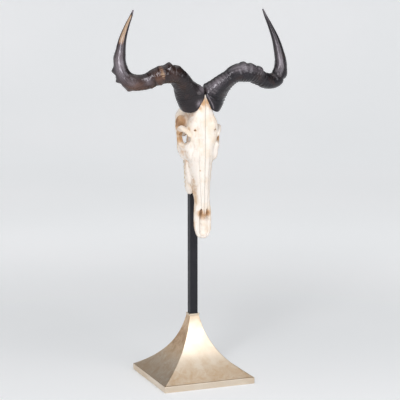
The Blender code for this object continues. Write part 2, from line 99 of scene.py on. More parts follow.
# Lumps on the horns: (station, degrees round, height, reach along, reach round in degrees). Degrees are 0 on
# the outer or lower side, 90 in front, 180 on the inner or upper side, and 270 behind.
RIGHT_LUMPS = (
    (6.52, 178, 9.4, 7.2, 42),
    (7.35, 170, 3.4, 6, 42),
    (5.62, 182, 3, 7.2, 36),
    (3.55, 180, -7.6, 24, 50),
    (2.00, 172, 7, 12, 56),
    (8.35, 78, -4, 3.2, 44),
    (8.80, 62, 3, 5, 34),
    (7.75, 40, 2.6, 6, 34),
    (10.52, 8, 5.8, 6.2, 36),
    (11.18, 6, -3.8, 2.8, 36),
    (11.50, 5, 6.6, 4.2, 34),
    (11.92, 3, -2.6, 3.2, 34),
    (12.33, 0, 8.4, 6.8, 38),
    (12.80, 0, -0.6, 4, 30),
    (13.50, 0, 3, 14, 40),
    (1.20, 136, 11.2, 23, 24),
)
LEFT_LUMPS = (
    (6.42, 178, 6.8, 8, 44),
    (7.20, 172, 3, 7, 40),
    (8.25, 178, 6.2, 9, 44),
    (8.75, 176, -2.2, 4, 40),
    (4.00, 180, -3, 20, 46),
    (2.00, 172, 8.5, 13, 60),
    (8.55, 95, -1.8, 3.4, 60),
    (11.10, 182, -4.2, 7.5, 46),
    (10.90, 0, 1.2, 6, 40),
    (11.36, 350, -12, 4.2, 70),
    (11.88, 350, 8.5, 7.8, 60),
    (12.45, 0, -1.2, 3.6, 30),
    (12.85, 0, 3, 7, 34),
    (1.20, 136, 9.2, 23, 24),
    (1.62, 124, -2.4, 2.2, 40),
)

# ---- Skull ----
SKULL_STEP = 0.0016  # spacing of the points at which its distance field is worked out
SEAT_ROOM, SEAT_GAP = 0.004, 0.0003  # round the mounting plate, and over it
CHAIN_STEPS = 4  # pieces of a bent bar between two of its stations
# The face: (up, half width, front, back, squareness, how much narrower the front is).
FACE_STATIONS = (
    (473.5, 11, 95.5, 87.5, 2.2, 0.00),
    (480, 20, 98, 84.5, 2.4, 0.00),
    (495, 26.2, 98.5, 78, 2.5, 0.00),
    (510, 28.5, 98, 75, 2.5, 0.00),
    (530, 29, 98.5, 73.5, 2.5, 0.05),
    (558, 28.5, 102, 71, 2.6, 0.12),
    (590, 24.2, 104, 62, 2.8, 0.15),
    (615, 26.2, 104.5, 48, 2.8, 0.18),
    (650, 30.5, 105.5, 36, 2.8, 0.22),
    (690, 36, 107, 31, 2.8, 0.24),
    (720, 39, 108, 33, 2.7, 0.20),
    (745, 42, 109.5, 36, 2.6, 0.12),
    (770, 45.5, 110.5, 42, 2.6, 0.06),
    (790, 49, 111, 48, 2.6, 0.03),
    (815, 50.5, 111.5, 50, 2.6, 0.02),
    (845, 40.5, 111.5, 44, 2.5, 0.00),
    (870, 36, 111.5, 30, 2.4, 0.00),
    (890, 29, 111.5, 20, 2.4, 0.00),
    (908, 20, 111, 25, 2.2, 0.00),
    (923, 11, 108, 35, 2.0, 0.00),
)
# The raised edge of one eye socket, over its top, back and bottom: (out, forward, up, radius).
ORBIT_RIM = (
    (47, 93.5, 797, 1.6),
    (50.8, 88.5, 803.5, 2.8),
    (57.5, 77, 812, 4.6),
    (61.5, 63, 818, 5.8),
    (63.2, 51.5, 806, 5.6),
    (61.8, 47.5, 784, 5.6),
    (58.5, 55, 765, 5.8),
    (52, 74, 761, 5.4),
    (46.5, 88, 764, 3.6),
    (44, 95, 770, 1.6),
)
CHEEK_ARCH = (
    (53, 48, 744, 9.5),
    (55.5, 37, 746, 9),
    (57, 29, 759, 7.2),
    (56, 22.5, 778, 6.2),
    (55, 19, 798, 6.2),
    (53, 19, 815, 7.8),
)

# The cheek teeth, from the front.
TOOTH_NAMES = ("premolar_2", "premolar_3", "premolar_4", "molar_1", "molar_2", "molar_3")
TOOTH_SIDES = 64
# Rings over a tooth's worn face, from its edge to its middle: (share of the tooth's size, depth in metres).
WORN_FACE = ((0.965, 0.0002), (0.90, 0.0), (0.82, 0.0009), (0.62, 0.0014), (0.50, 0.0004), (0.40, 0.0001),
             (0.30, 0.0008), (0.16, 0.0022))


# ---- Numbers over many points ----
def smooth_rows(rows, count):
    """Rows of numbers read at count even steps from a Catmull-Rom curve through them."""
    rows = np.array(rows, float)
    padded = np.vstack([2 * rows[0] - rows[1], rows, 2 * rows[-1] - rows[-2]])
    at = np.linspace(0, len(rows) - 1, count)
    i = np.minimum(at.astype(int), len(rows) - 2)
    u = (at - i)[:, None]
    a, b, c, d = (padded[i + k] for k in range(4))
    return b + u / 2 * (c - a + u * (2 * a - 5 * b + 4 * c - d + u * (3 * (b - c) + d - a)))


def unit(rows):
    return rows / np.linalg.norm(rows, axis=-1, keepdims=True)


def smoothstep(low, high, values):
    """0 at low and 1 at high, smoothly between. low may be the larger."""
    t = np.clip((values - low) / (high - low), 0, 1)
    return t * t * (3 - 2 * t)


def value_noise(points, size, seed):
    """Smooth noise from -1 to 1 at each point, with lumps about size across."""
    table = np.random.default_rng(seed).uniform(-1, 1, (32, 32, 32))
    scaled = np.asarray(points) / size
    cell = np.floor(scaled).astype(int)
    u = scaled - cell
    u = u * u * (3 - 2 * u)
    total = np.zeros(len(scaled))
    for corner in np.ndindex(2, 2, 2):
        weight = np.prod([u[:, k] if corner[k] else 1 - u[:, k] for k in range(3)], axis=0)
        i, j, k = ((cell[:, axis] + corner[axis]) % 32 for axis in range(3))
        total += weight * table[i, j, k]
    return total


def layered_noise(points, size, seed, layers=3):
    total = sum(value_noise(points, size / 2 ** n, seed + n) / 2 ** n for n in range(layers))
    return total / (2 - 2 ** (1 - layers))


# ---- Meshes ----
def in_scene(name, data):
    obj = bpy.data.objects.new(name, data)
    bpy.context.scene.collection.objects.link(obj)
    return obj


def mesh_object(name, verts, faces):
    mesh = bpy.data.meshes.new(name)
    mesh.from_pydata(np.asarray(verts).tolist(), [], [tuple(face) for face in faces])
    mesh.update()
    mesh.shade_smooth()
    return in_scene(name, mesh)


def ring_faces(rings, sides, closed=False):
    """Quads between rings of points. If closed, the last ring joins the first. If not, triangles fill each
    end round a point in its middle, and those two points follow the rings."""
    i = np.arange(rings if closed else rings - 1)[:, None] * sides
    j = np.arange(sides)[None, :]
    after = (j + 1) % sides
    quads = np.stack([i + j, i + after, i + sides + after, i + sides + j], axis=-1) % (rings * sides)
    faces = quads.reshape(-1, 4).tolist()
    if not closed:
        top = (rings - 1) * sides
        for k in range(sides):
            faces.append(((k + 1) % sides, k, rings * sides))
            faces.append((top + k, top + (k + 1) % sides, rings * sides + 1))
    return faces


def store(obj, name, values):
    """Keeps a number or a vector for each vertex, for the materials to read."""
    values = np.asarray(values, np.float32)
    kind, field = ("FLOAT", "value") if values.ndim == 1 else ("FLOAT_VECTOR", "vector")
    obj.data.attributes.new(name, kind, "POINT").data.foreach_set(field, values.ravel())


def vertex_rows(obj, kind):
    """Every vertex's place or normal, for the kind "co" or "normal"."""
    found = np.empty(len(obj.data.vertices) * 3, np.float32)
    obj.data.vertices.foreach_get(kind, found)
    return found.reshape(-1, 3).astype(float)


def move_vertices(obj, places):
    obj.data.vertices.foreach_set("co", places.ravel())
    obj.data.update()


def fix_outside(obj):
    """Turns every face to point out."""
    bm = bmesh.new()
    bm.from_mesh(obj.data)
    bmesh.ops.recalc_face_normals(bm, faces=bm.faces)
    bm.to_mesh(obj.data)
    bm.free()


def finish_piece(obj, material, replaced):
    obj.data.materials.clear()
    obj.data.materials.append(material)
    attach(obj, "root")
    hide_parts(*replaced)


# ---- Shader building ----
class Value:
    """What a node gives out. Arithmetic on it adds the Math nodes that work it out."""

    def __init__(self, shader, socket):
        self.shader, self.socket = shader, socket

    def __add__(self, other):
        return self.shader.math("ADD", self, other)

    def __sub__(self, other):
        return self.shader.math("SUBTRACT", self, other)

    def __mul__(self, other):
        return self.shader.math("MULTIPLY", self, other)


class Shader:
    """A material and the few kinds of node that the surfaces here are made from."""

    def __init__(self, name):
        self.material = bpy.data.materials.new(name)
        self.material.use_nodes = True
        self.tree = self.material.node_tree

    def add(self, kind, output, inputs=(), **settings):
        """Adds a node, and returns what one of its outputs gives."""
        node = self.tree.nodes.new("ShaderNode" + kind)
        for key, value in settings.items():
            setattr(node, key, value)
        for key, value in dict(inputs).items():
            self.feed(node.inputs[key], value)
        return Value(self, node.outputs[output])

    def feed(self, socket, value):
        if isinstance(value, Value):
            self.tree.links.new(value.socket, socket)
        elif isinstance(value, tuple) and len(socket.default_value) == 4:
            socket.default_value = (*value, 1)
        else:
            socket.default_value = value

    def finish(self, **values):
        """Sets the surface's own sockets, and returns the material."""
        sockets = self.tree.nodes["Principled BSDF"].inputs
        for key, value in values.items():
            self.feed(sockets[key.replace("_", " ").title().replace("Ior", "IOR")], value)
        return self.material

    def place(self, scale=(1, 1, 1), coords=None):
        """The object's own coordinates, or others, stretched by scale."""
        coords = coords or self.add("TexCoord", "Object")
        return self.add("Mapping", "Vector", {"Vector": coords, "Scale": scale})

    def stored(self, name, output="Fac"):
        return self.add("Attribute", output, attribute_name=name)

    def noise(self, vector, scale, detail=4.0, rough=0.55, distortion=0.0):
        inputs = {"Vector": vector, "Scale": scale, "Detail": detail, "Roughness": rough}
        return self.add("TexNoise", "Fac", {**inputs, "Distortion": distortion})

    def math(self, operation, a, b=0.0):
        return self.add("Math", 0, {0: a, 1: b}, operation=operation)

    def spread(self, value, low, high, to_low=0.0, to_high=1.0):
        """The value moved from low..high to another range, held inside it."""
        inputs = {"Value": value, "From Min": low, "From Max": high, "To Min": to_low, "To Max": to_high}
        return self.add("MapRange", "Result", inputs, interpolation_type="SMOOTHSTEP")

    def mix(self, share, a, b):
        return self.add("Mix", 2, {0: share, 6: a, 7: b}, data_type="RGBA")

    def layers(self, colour, *layers):
        """The colour under layers, given as (value, low, high, most, tint). Each covers up to most of it."""
        for value, low, high, most, tint in layers:
            colour = self.mix(self.spread(value, low, high, 0.0, most), colour, tint)
        return colour

    def parts(self, vector):
        return [self.add("SeparateXYZ", axis, {"Vector": vector}) for axis in "XYZ"]

    def bump(self, height, distance, strength):
        return self.add("Bump", "Normal", {"Height": height, "Distance": distance, "Strength": strength})


BONE_WHITE = (0.860, 0.788, 0.722)
BONE_CREAM = (0.790, 0.668, 0.540)
BONE_TAN = (0.560, 0.325, 0.160)
BONE_BROWN = (0.180, 0.078, 0.032)
BONE_DARK = (0.018, 0.013, 0.010)
BONE_GREY = (0.250, 0.220, 0.190)


def line_mask(shader, across, width):
    """1 on a thin line where across is 0, fading to 0 at width from it."""
    return shader.spread(shader.math("ABSOLUTE", across), 0.15 * width, width, 1.0, 0.0)


def bone_sutures(shader, coords):
    """The joints between the skull's bones: down the middle of the forehead and nose, and beside the nose."""
    x, y, z = shader.parts(coords)
    wiggle = (shader.noise(shader.place((0, 0, 1)), 210.0, 3.0, 0.6) - 0.5) * 0.0040
    middle = line_mask(shader, x + wiggle, 0.0014) * shader.spread(z, 0.556, 0.600, 0.35, 1.0)
    nose_edge = shader.spread(z, 0.560, 0.740, 0.0105, 0.0185)
    beside = line_mask(shader, shader.math("ABSOLUTE", x) + wiggle - nose_edge, 0.0009)
    beside = beside * shader.spread(z, 0.742, 0.730, 0.0, 0.75)
    return shader.math("MAXIMUM", middle, beside) * shader.spread(y, -0.098, -0.088, 1.0, 0.0)


def bone_material():
    shader = Shader("bleached_bone")
    coords = shader.place()
    broad = shader.noise(coords, 17.0, 5.0, 0.6)
    patchy = shader.noise(coords, 60.0, 6.0, 0.65, 0.4)
    grain = shader.noise(shader.place((420, 420, 34)), 1.0, 5.0, 0.6, 0.3)
    pores = shader.noise(coords, 620.0, 2.0, 0.5)
    pinholes = shader.spread(pores, 0.66, 0.74, 0.0, 0.55)
    stain_and_shade, hollow = shader.stored("stain_and_shade"), shader.stored("hollow")
    uneven = (patchy - 0.5) * 1.3
    # Real stains, and painted shade: tan on bone facing sideways and on bone facing back, near-black painted
    # shadow in the small holes.
    spotted = stain_and_shade + uneven * shader.spread(stain_and_shade, 0.0, 0.5, 0.18, 1.0)
    # Painted shade: the bone is tinted tan, then brown, then near-black where it is sunk among bone nearby.
    deep = hollow + uneven * 0.25
    run = shader.noise(shader.place((64, 64, 7)), 1.0, 6.0, 0.55, 0.2)
    cracked = shader.spread(shader.noise(coords, 24.0, 3.0, 0.5), 0.46, 0.58)
    cracks = line_mask(shader, run - 0.5, 0.0075) * cracked
    sutures = bone_sutures(shader, coords)

    colour = shader.layers(
        BONE_WHITE, (broad, 0.42, 0.66, 1.0, BONE_CREAM), (grain, 0.50, 0.76, 0.40, BONE_CREAM),
        (spotted, 0.16, 0.95, 0.92, BONE_TAN), (spotted, 0.85, 1.45, 0.80, BONE_BROWN),
        (spotted, 1.70, 2.30, 0.96, BONE_DARK), (deep, 0.16, 0.75, 0.66, BONE_TAN),
        (deep, 0.62, 1.15, 0.90, BONE_BROWN), (deep, 1.15, 1.60, 0.95, BONE_DARK))
    for share, tint in ((pinholes, BONE_TAN), (cracks * 0.34, BONE_TAN), (sutures * 0.50, BONE_GREY)):
        colour = shader.mix(share, colour, tint)
    height = grain * 0.45 + patchy * 0.55 - pinholes * 0.5 - shader.math("MAXIMUM", sutures, cracks * 0.4)
    return shader.finish(base_color=colour, roughness=shader.spread(patchy, 0.3, 0.7, 0.46, 0.66),
                         normal=shader.bump(height, 0.0010, 0.9), specular_ior_level=0.35)


HORN_BLACK = (0.0036, 0.0030, 0.0042)
HORN_SEPIA = (0.0060, 0.0030, 0.0024)
HORN_UMBER = (0.034, 0.015, 0.010)
HORN_RUSSET = (0.125, 0.060, 0.035)
HORN_AMBER = (0.350, 0.240, 0.155)
# Pale lilac: the painted highlights, and the paler tips.
HORN_PALE_AND_HIGHLIGHT = (0.300, 0.262, 0.292)
HORN_MARKS_AND_PAINTED_LIGHT = ("brown", "amber", "grey", "furrow_shade")


def horn_material(name, ground):
    """Polished horn. Each sheath keeps in numbers on its vertices where it is brown and amber, where
    highlights and a paler tip are painted in pale lilac, and where furrows are painted dark as shade.
    """
    shader = Shader(name)
    along = shader.stored("grain_place", "Vector")
    fibres = shader.noise(shader.place((30, 520, 520), along), 1.0, 5.0, 0.6)
    clouds = shader.noise(shader.place((32, 60, 60), along), 1.0, 5.0, 0.6, 0.5)
    rings = shader.noise(shader.place((900, 40, 40), along), 1.0, 3.0, 0.5)
    brown, amber, grey, furrow_shade = (shader.stored(kind) for kind in HORN_MARKS_AND_PAINTED_LIGHT)
    browned = brown + (clouds - 0.5) * brown
    streaks = amber + (fibres - 0.5) * 1.3
    colour = shader.layers(
        ground, (clouds, 0.46, 0.74, 0.55, HORN_UMBER), (browned, 0.05, 0.75, 1.0, HORN_UMBER),
        (browned, 0.45, 1.20, 0.85, HORN_RUSSET), (streaks, 0.25, 0.42, 1.0, HORN_RUSSET),
        (streaks, 0.38, 0.72, 1.0, HORN_AMBER))
    # Painted highlight: pale lilac laid where the lamps' highlights fall on the horns, broken up by the
    # fibres; it also gives the paler tips.
    pale_and_highlight_share = grey * shader.spread(fibres, 0.30, 0.62, 0.35, 1.0)
    colour = shader.mix(pale_and_highlight_share * 0.85, colour, HORN_PALE_AND_HIGHLIGHT)
    # Painted shade: furrows fall back to the horn's dark ground colour.
    colour = shader.mix(furrow_shade * 0.75, colour, ground)
    rough = shader.spread(clouds, 0.3, 0.7, 0.19, 0.32) + furrow_shade * 0.25
    return shader.finish(base_color=colour, roughness=rough, specular_ior_level=0.38,
                         specular_tint=(0.94, 0.89, 1.0), coat_weight=0.32, coat_roughness=0.12,
                         normal=shader.bump(fibres * 0.5 + rings * 0.5, 0.00016, 0.5))


ENAMEL_IVORY = (0.80, 0.70, 0.52)
ENAMEL_YELLOW = (0.66, 0.50, 0.31)
ENAMEL_BROWN = (0.36, 0.22, 0.11)


def tooth_material():
    shader = Shader("old_enamel")
    cloud = shader.noise(shader.place(), 160.0, 4.0, 0.6)
    ribs = shader.noise(shader.place((900, 60, 900)), 1.0, 3.0, 0.5)
    colour = shader.layers(ENAMEL_IVORY, (cloud, 0.35, 0.7, 1.0, ENAMEL_YELLOW),
                           (shader.stored("groove"), 0.15, 0.8, 0.9, ENAMEL_BROWN))
    return shader.finish(base_color=colour, roughness=shader.spread(cloud, 0.3, 0.7, 0.26, 0.42),
                         normal=shader.bump(ribs, 0.00015, 0.7), specular_ior_level=0.55)


LEAF_CHAMPAGNE = (0.810, 0.705, 0.580)
LEAF_GOLD = (0.740, 0.605, 0.460)
LEAF_WARM = (0.660, 0.455, 0.270)
LEAF_GROUND_AND_SHADE = (0.400, 0.225, 0.115)
LEAF_BRIGHT = (0.860, 0.790, 0.690)


def leaf_metal_material():
    """Pale champagne leaf over a smooth ground: brushed level, cloudy, warmer where it wears, and browned by
    painted shade.
    """
    shader = Shader("champagne_leaf")
    coords = shader.place()
    cloud = shader.noise(coords, 9.0, 5.0, 0.6, 0.6)
    blotch = shader.noise(coords, 42.0, 5.0, 0.65, 0.8)
    brushed = shader.noise(shader.place((26, 26, 900)), 1.0, 4.0, 0.6)
    sparkle = shader.noise(coords, 900.0, 2.0, 0.5)
    # Painted shade from the stored numbers, with random wear on top, browns the leaf.
    wear_and_painted_light = shader.stored("leaf_shade") + (blotch - 0.5) * 1.2
    colour = shader.layers(
        LEAF_CHAMPAGNE, (cloud, 0.35, 0.68, 1.0, LEAF_GOLD), (wear_and_painted_light, 0.08, 0.70, 0.85, LEAF_WARM),
        (wear_and_painted_light, 0.55, 1.15, 0.85, LEAF_GROUND_AND_SHADE), (brushed, 0.50, 0.80, 0.35, LEAF_BRIGHT))
    rough = shader.spread(cloud, 0.3, 0.7, 0.34, 0.44) + shader.spread(brushed, 0.4, 0.8, 0.0, 0.08)
    return shader.finish(base_color=colour, metallic=1.0, roughness=rough,
                         normal=shader.bump(brushed * 0.7 + sparkle * 0.3, 0.00010, 0.6))


BLACK_PAINT, BLACK_WORN = (0.009, 0.009, 0.013), (0.015, 0.014, 0.019)
STEEL_BRIGHT, STEEL_DULL = (0.52, 0.52, 0.53), (0.30, 0.27, 0.24)


def black_metal_material():
    shader = Shader("satin_black_paint")
    coords = shader.place()
    cloud = shader.noise(coords, 30.0, 4.0, 0.6)
    fine = shader.noise(coords, 1400.0, 2.0, 0.5)
    return shader.finish(base_color=shader.layers(BLACK_PAINT, (cloud, 0.3, 0.7, 1.0, BLACK_WORN)),
                         roughness=shader.spread(cloud, 0.3, 0.7, 0.40, 0.52),
                         normal=shader.bump(fine, 0.00006, 0.7), specular_ior_level=0.32)


def screw_steel_material():
    shader = Shader("plain_steel")
    turned = shader.noise(shader.place((60, 60, 2400)), 1.0, 3.0, 0.5)
    tarnish = shader.noise(shader.place(), 420.0, 4.0, 0.6)
    return shader.finish(base_color=shader.layers(STEEL_BRIGHT, (tarnish, 0.4, 0.7, 1.0, STEEL_DULL)),
                         metallic=1.0, roughness=shader.spread(tarnish, 0.3, 0.7, 0.28, 0.45),
                         normal=shader.bump(turned, 0.00005, 0.7))


# ---- Distance fields ----
def at(out, forward, up):
    """A place in millimetres on the skull's left side or middle, as (x, y, z) in metres."""
    return MM * np.array((out, -forward, up))


class HalfSolid:
    """Distances to a solid that is the same on both sides of x = 0, at the points of a grid over x >= 0.

    Shapes are joined on or hollowed out one by one, each worked out only near itself. blend is the width in
    millimetres over which a shape's surface runs smoothly into what is there."""

    def __init__(self, low, high, step):
        self.step = step
        self.axes = [np.arange(round(l / step), round(h / step) + 1) * step for l, h in zip(low, high)]
        self.value = np.full([len(axis) for axis in self.axes], 0.05)

    def near(self, low, high, margin):
        window, coords = [], []
        for k, axis in enumerate(self.axes):
            first, last = np.searchsorted(axis, (low[k] - margin, high[k] + margin))
            window.append(slice(first, last))
            coords.append(axis[first:last].reshape([-1 if n == k else 1 for n in range(3)]))
        return tuple(window), coords

    def join(self, shape, blend, sign=1):
        low, high, distance = shape
        blend = MM * blend
        window, coords = self.near(low, high, blend + 2 * self.step)
        here, new = sign * self.value[window], distance(*coords)
        soft = np.clip(1 - np.abs(here - new) / blend, 0, None)
        self.value[window] = sign * (np.minimum(here, new) - soft * soft * blend / 4)

    def hollow(self, shape, blend):
        """Takes the shape away, which is the same as joining it to the space outside."""
        self.join(shape, blend, -1)

    def whole(self):
        """The field over both sides, and its lowest corner."""
        low = np.array([-self.axes[0][-1], self.axes[1][0], self.axes[2][0]])
        return np.concatenate([self.value[:0:-1], self.value]), low


def ellipsoid(centre, radii, turn=((1, 0, 0), (0, 1, 0), (0, 0, 1))):
    """turn's rows are the ellipsoid's own axes."""
    centre, radii, turn = at(*centre), MM * np.array(radii), np.array(turn, float)
    reach = np.abs(turn.T) @ radii

    def distance(x, y, z):
        p = (x - centre[0], y - centre[1], z - centre[2])
        own = [row[0] * p[0] + row[1] * p[1] + row[2] * p[2] for row in turn]
        near = np.sqrt(sum((v / r) ** 2 for v, r in zip(own, radii)))
        steep = np.sqrt(sum((v / r ** 2) ** 2 for v, r in zip(own, radii)))
        return near * (near - 1) / np.maximum(steep, 1e-6)

    return centre - reach, centre + reach, distance


def capsule(a, b, radius_a, radius_b, flat=None, flatness=1.0):
    """A rod with round ends. Along the direction flat, it is thinner by flatness."""
    a, b = at(*a), at(*b)
    radius_a, radius_b = MM * radius_a, MM * radius_b
    along = b - a
    thick = max(radius_a, radius_b) * max(1.0, 1 / flatness)

    def distance(x, y, z):
        p = [x - a[0], y - a[1], z - a[2]]
        t = np.clip(sum(v * w for v, w in zip(p, along)) / (along @ along), 0, 1)
        off = [v - t * w for v, w in zip(p, along)]
        square = sum(v * v for v in off)
        if flat is not None:
            part = sum(v * w for v, w in zip(off, flat))
            square = square + part * part * (flatness ** 2 - 1)
        return np.sqrt(square) - (radius_a + (radius_b - radius_a) * t)

    return np.minimum(a, b) - thick, np.maximum(a, b) + thick, distance


def box(low, high, rounding):
    """A box between two corners in metres."""
    low, high = np.asarray(low, float), np.asarray(high, float)
    middle, half = (low + high) / 2, (high - low) / 2 - rounding

    def distance(x, y, z):
        q = [np.abs(v - m) - h for v, m, h in zip((x, y, z), middle, half)]
        outside = np.sqrt(sum(np.maximum(v, 0) ** 2 for v in q))
        return outside + np.minimum(np.maximum(np.maximum(q[0], q[1]), q[2]), 0) - rounding

    return low, high, distance


def face_body():
    """The long face and forehead: a squarish section whose size runs smoothly up the stations."""
    rows = smooth_rows(FACE_STATIONS, 240) * (MM, MM, MM, MM, 1, 1)
    ups = rows[:, 0]

    def distance(x, y, z):
        half, front, back, square, narrow = (np.interp(z, ups, rows[:, k]) for k in range(1, 6))
        past_end = np.maximum(np.maximum(ups[0] - z, z - ups[-1]), 0)
        deep = (front - back) / 2
        forward = (-y - (front + back) / 2) / deep
        across = np.abs(x) / (half * (1 - narrow * np.clip(forward, 0, 1)))
        size = (across ** square + np.abs(forward) ** square) ** (1 / square)
        return (size - 1) * np.minimum(half, deep) + past_end

    widest = rows[:, 1].max()
    low = np.array((0, -rows[:, 2].max(), ups[0]))
    high = np.array((widest, -rows[:, 3].min(), ups[-1]))
    return low, high, distance


def join_chain(solid, stations, blend, flat=None, flatness=1.0):
    """A bent bar through (out, forward, up, radius) stations."""
    rows = smooth_rows(stations, (len(stations) - 1) * CHAIN_STEPS + 1)
    for a, b in zip(rows, rows[1:]):
        solid.join(capsule(a[:3], b[:3], a[3], b[3], flat, flatness), blend)


def skull_field():
    """The bone: what it is made of, what is hollowed out of it, then the thin parts left in the hollows."""
    solid = HalfSolid((0, -0.122, 0.464), (0.084, 0.080, 0.944), SKULL_STEP)
    solid.join(face_body(), 4)
    join_braincase(solid)
    join_face_sides(solid)
    hollow_face(solid)
    hollow_back(solid)
    join_thin_bones(solid)
    return solid


def join_braincase(solid):
    solid.join(ellipsoid((0, 6, 838), (38.5, 52, 43)), 14)
    solid.join(ellipsoid((0, 52, 884), (43, 40, 36)), 12)  # the bone under the horns
    solid.join(ellipsoid((0, -30, 842), (43, 17, 40)), 10)  # the back of the head
    solid.join(ellipsoid((0, 2, 770), (20, 27, 24)), 10)
    solid.join(capsule((0, -42, 806), (0, 14, 786), 15, 14), 12)
    solid.join(capsule((0, 12, 784), (0, 50, 760), 15, 17), 10)
    crest = ((2, -48, 868, 5), (18, -46, 866, 5), (34, -38, 854, 4.6),
             (42.5, -25, 835, 4.6), (44, -12, 820, 5))
    join_chain(solid, crest, 7)
    solid.join(capsule((0, -50, 862), (0, -48, 832), 3, 2), 8)
    solid.join(ellipsoid((16.5, -50, 802), (10.8, 13.5, 15)), 4)  # condyle
    solid.join(ellipsoid((27.5, -8, 796), (9.5, 13.5, 12)), 4)  # ear bulla
    process = ((38, -30, 824, 8), (38.5, -33, 800, 6), (36.5, -32, 780, 4.2),
               (35, -30, 764, 2.4))
    join_chain(solid, process, 4, flat=(0.8, -0.6, 0), flatness=1.7)
    solid.join(capsule((42, -4, 815), (54, -4, 820), 6.2, 5.2), 5)  # ear tube


def join_face_sides(solid):
    """One side's cheek: the eye socket's funnel and rim, the arch, the cheekbone and the tooth ridge."""
    solid.join(ellipsoid((48, 21, 836), (15, 12.5, 19)), 8)
    solid.join(ellipsoid((54.5, 21, 833), (8.8, 10.5, 15)), 4)
    solid.join(ellipsoid((56, 16, 818), (7, 10, 11)), 3)
    join_chain(solid, CHEEK_ARCH, 5, flat=(1, 0, 0), flatness=1.5)
    join_chain(solid, ORBIT_RIM, 9)
    cheek = ((50, 59, 757, 10), (51.5, 50, 742, 10.5), (50, 43, 732, 8.5),
             (42, 48, 723, 6.5), (37, 52, 705, 5))
    join_chain(solid, cheek, 7, flat=(0.93, 0.37, 0), flatness=1.35)
    ridge = ((23.5, 37, 613, 7), (25, 34, 626, 9.2), (26.5, 33, 665, 9.6),
             (28.5, 33, 710, 9.8), (27, 37, 727, 8))
    join_chain(solid, ridge, 6, flat=(0, 1, 0), flatness=0.80)
    crest = ((40, 50, 702, 4), (35.5, 54, 680, 4.2), (32.5, 56, 660, 6),
             (30, 56, 645, 4))
    join_chain(solid, crest, 6)
    solid.join(ellipsoid((29, 90, 832), (15, 20.5, 21)), 12)  # the brow's swelling
    solid.join(ellipsoid((42, 74, 743), (11.5, 23, 26)), 12)  # the tear bone


def hollow_face(solid):
    """The eye socket, the hollow before it, the nose, and the small holes that nerves pass through."""
    out = unit(np.array((0.943, -0.333, 0.0)))
    ahead = np.array((out[1], -out[0], 0.0))
    socket = (out, ahead, (0, 0, 1))
    solid.hollow(ellipsoid((52.5, 73.5, 790), (25, 23, 20.8), socket), 2)
    solid.hollow(ellipsoid((36, 52, 788), (15, 13, 15), socket), 4)
    solid.hollow(ellipsoid((25, 74, 786), (13, 11, 12.5)), 2)  # the orbit's inner cleft
    solid.hollow(ellipsoid((24, 86, 776), (11, 8, 7)), 2)
    solid.hollow(capsule((34.5, 116, 816), (32.5, 98, 812), 2.5, 2.2), 1.8)
    solid.hollow(capsule((35, 114, 802), (34, 106, 801), 1.1, 1), 1.2)
    solid.hollow(capsule((17, 108, 695), (16.2, 108, 680), 2.2, 1.8), 1.2)
    solid.hollow(capsule((37, 80, 656), (24, 76, 668), 3.4, 3), 2)
    for low, high, radius in ((493, 530, 15), (530, 554, 16)):
        solid.hollow(capsule((0, 100.5, low), (0, 102, high), radius, 16, (0, 1, 0), 0.90), 3)
    solid.hollow(ellipsoid((0, 86, 586), (13.5, 10.5, 56)), 4)
    solid.hollow(capsule((0, 100, 464), (0, 88, 476), 2.2, 1.5), 2)


def hollow_back(solid):
    """The palate, the back of the nose, the spinal cord's opening, and the seat on the mounting plate."""
    solid.hollow(ellipsoid((0, 16, 665), (16.5, 20, 90)), 5)
    solid.hollow(ellipsoid((0, 30, 735), (12.5, 15, 24)), 4)
    solid.hollow(ellipsoid((0, -60, 815), (12.5, 26, 12.5)), 3)
    solid.hollow(ellipsoid((0, -10, 840), (30, 29, 33)), 1)
    solid.hollow(capsule((6.8, 60, 554), (6.2, 68, 518), 3, 2.6), 2)
    solid.hollow(capsule((48, -4, 818), (64, -4, 822), 3, 3.4), 1)
    solid.hollow(ellipsoid((50, 13, 806), (10, 9, 5)), 3)  # the jaw's hinge seat
    side, front = PLATE_HIGH.x + SEAT_ROOM, PLATE_HIGH.y + SEAT_ROOM
    solid.hollow(box((-0.01, -front, 0.700), (side, front, PLATE_HIGH.z + SEAT_GAP), 0.0003), 0.4)


def join_thin_bones(solid):
    """The tips of the nose bones, the plate between the nostrils, and the two wings behind the palate."""
    solid.join(capsule((4.2, 99.5, 572), (3, 100, 538), 4.6, 2, (0, 1, 0), 1.7), 1.5)
    solid.join(capsule((12.5, 96, 570), (15.5, 93, 548), 3.4, 2.2), 2.5)
    solid.join(capsule((0, 80, 496), (0, 83, 560), 2.4, 1.6), 4)
    solid.join(box((-0.002, -0.0960, 0.5600), (0.0011, -0.0740, 0.6300), 0.0005), 2)
    wing = ((15, 38, 742, 3), (15, 30, 756, 3), (14, 24, 774, 3.6))
    join_chain(solid, wing, 4, flat=(1, 0, 0), flatness=1.6)


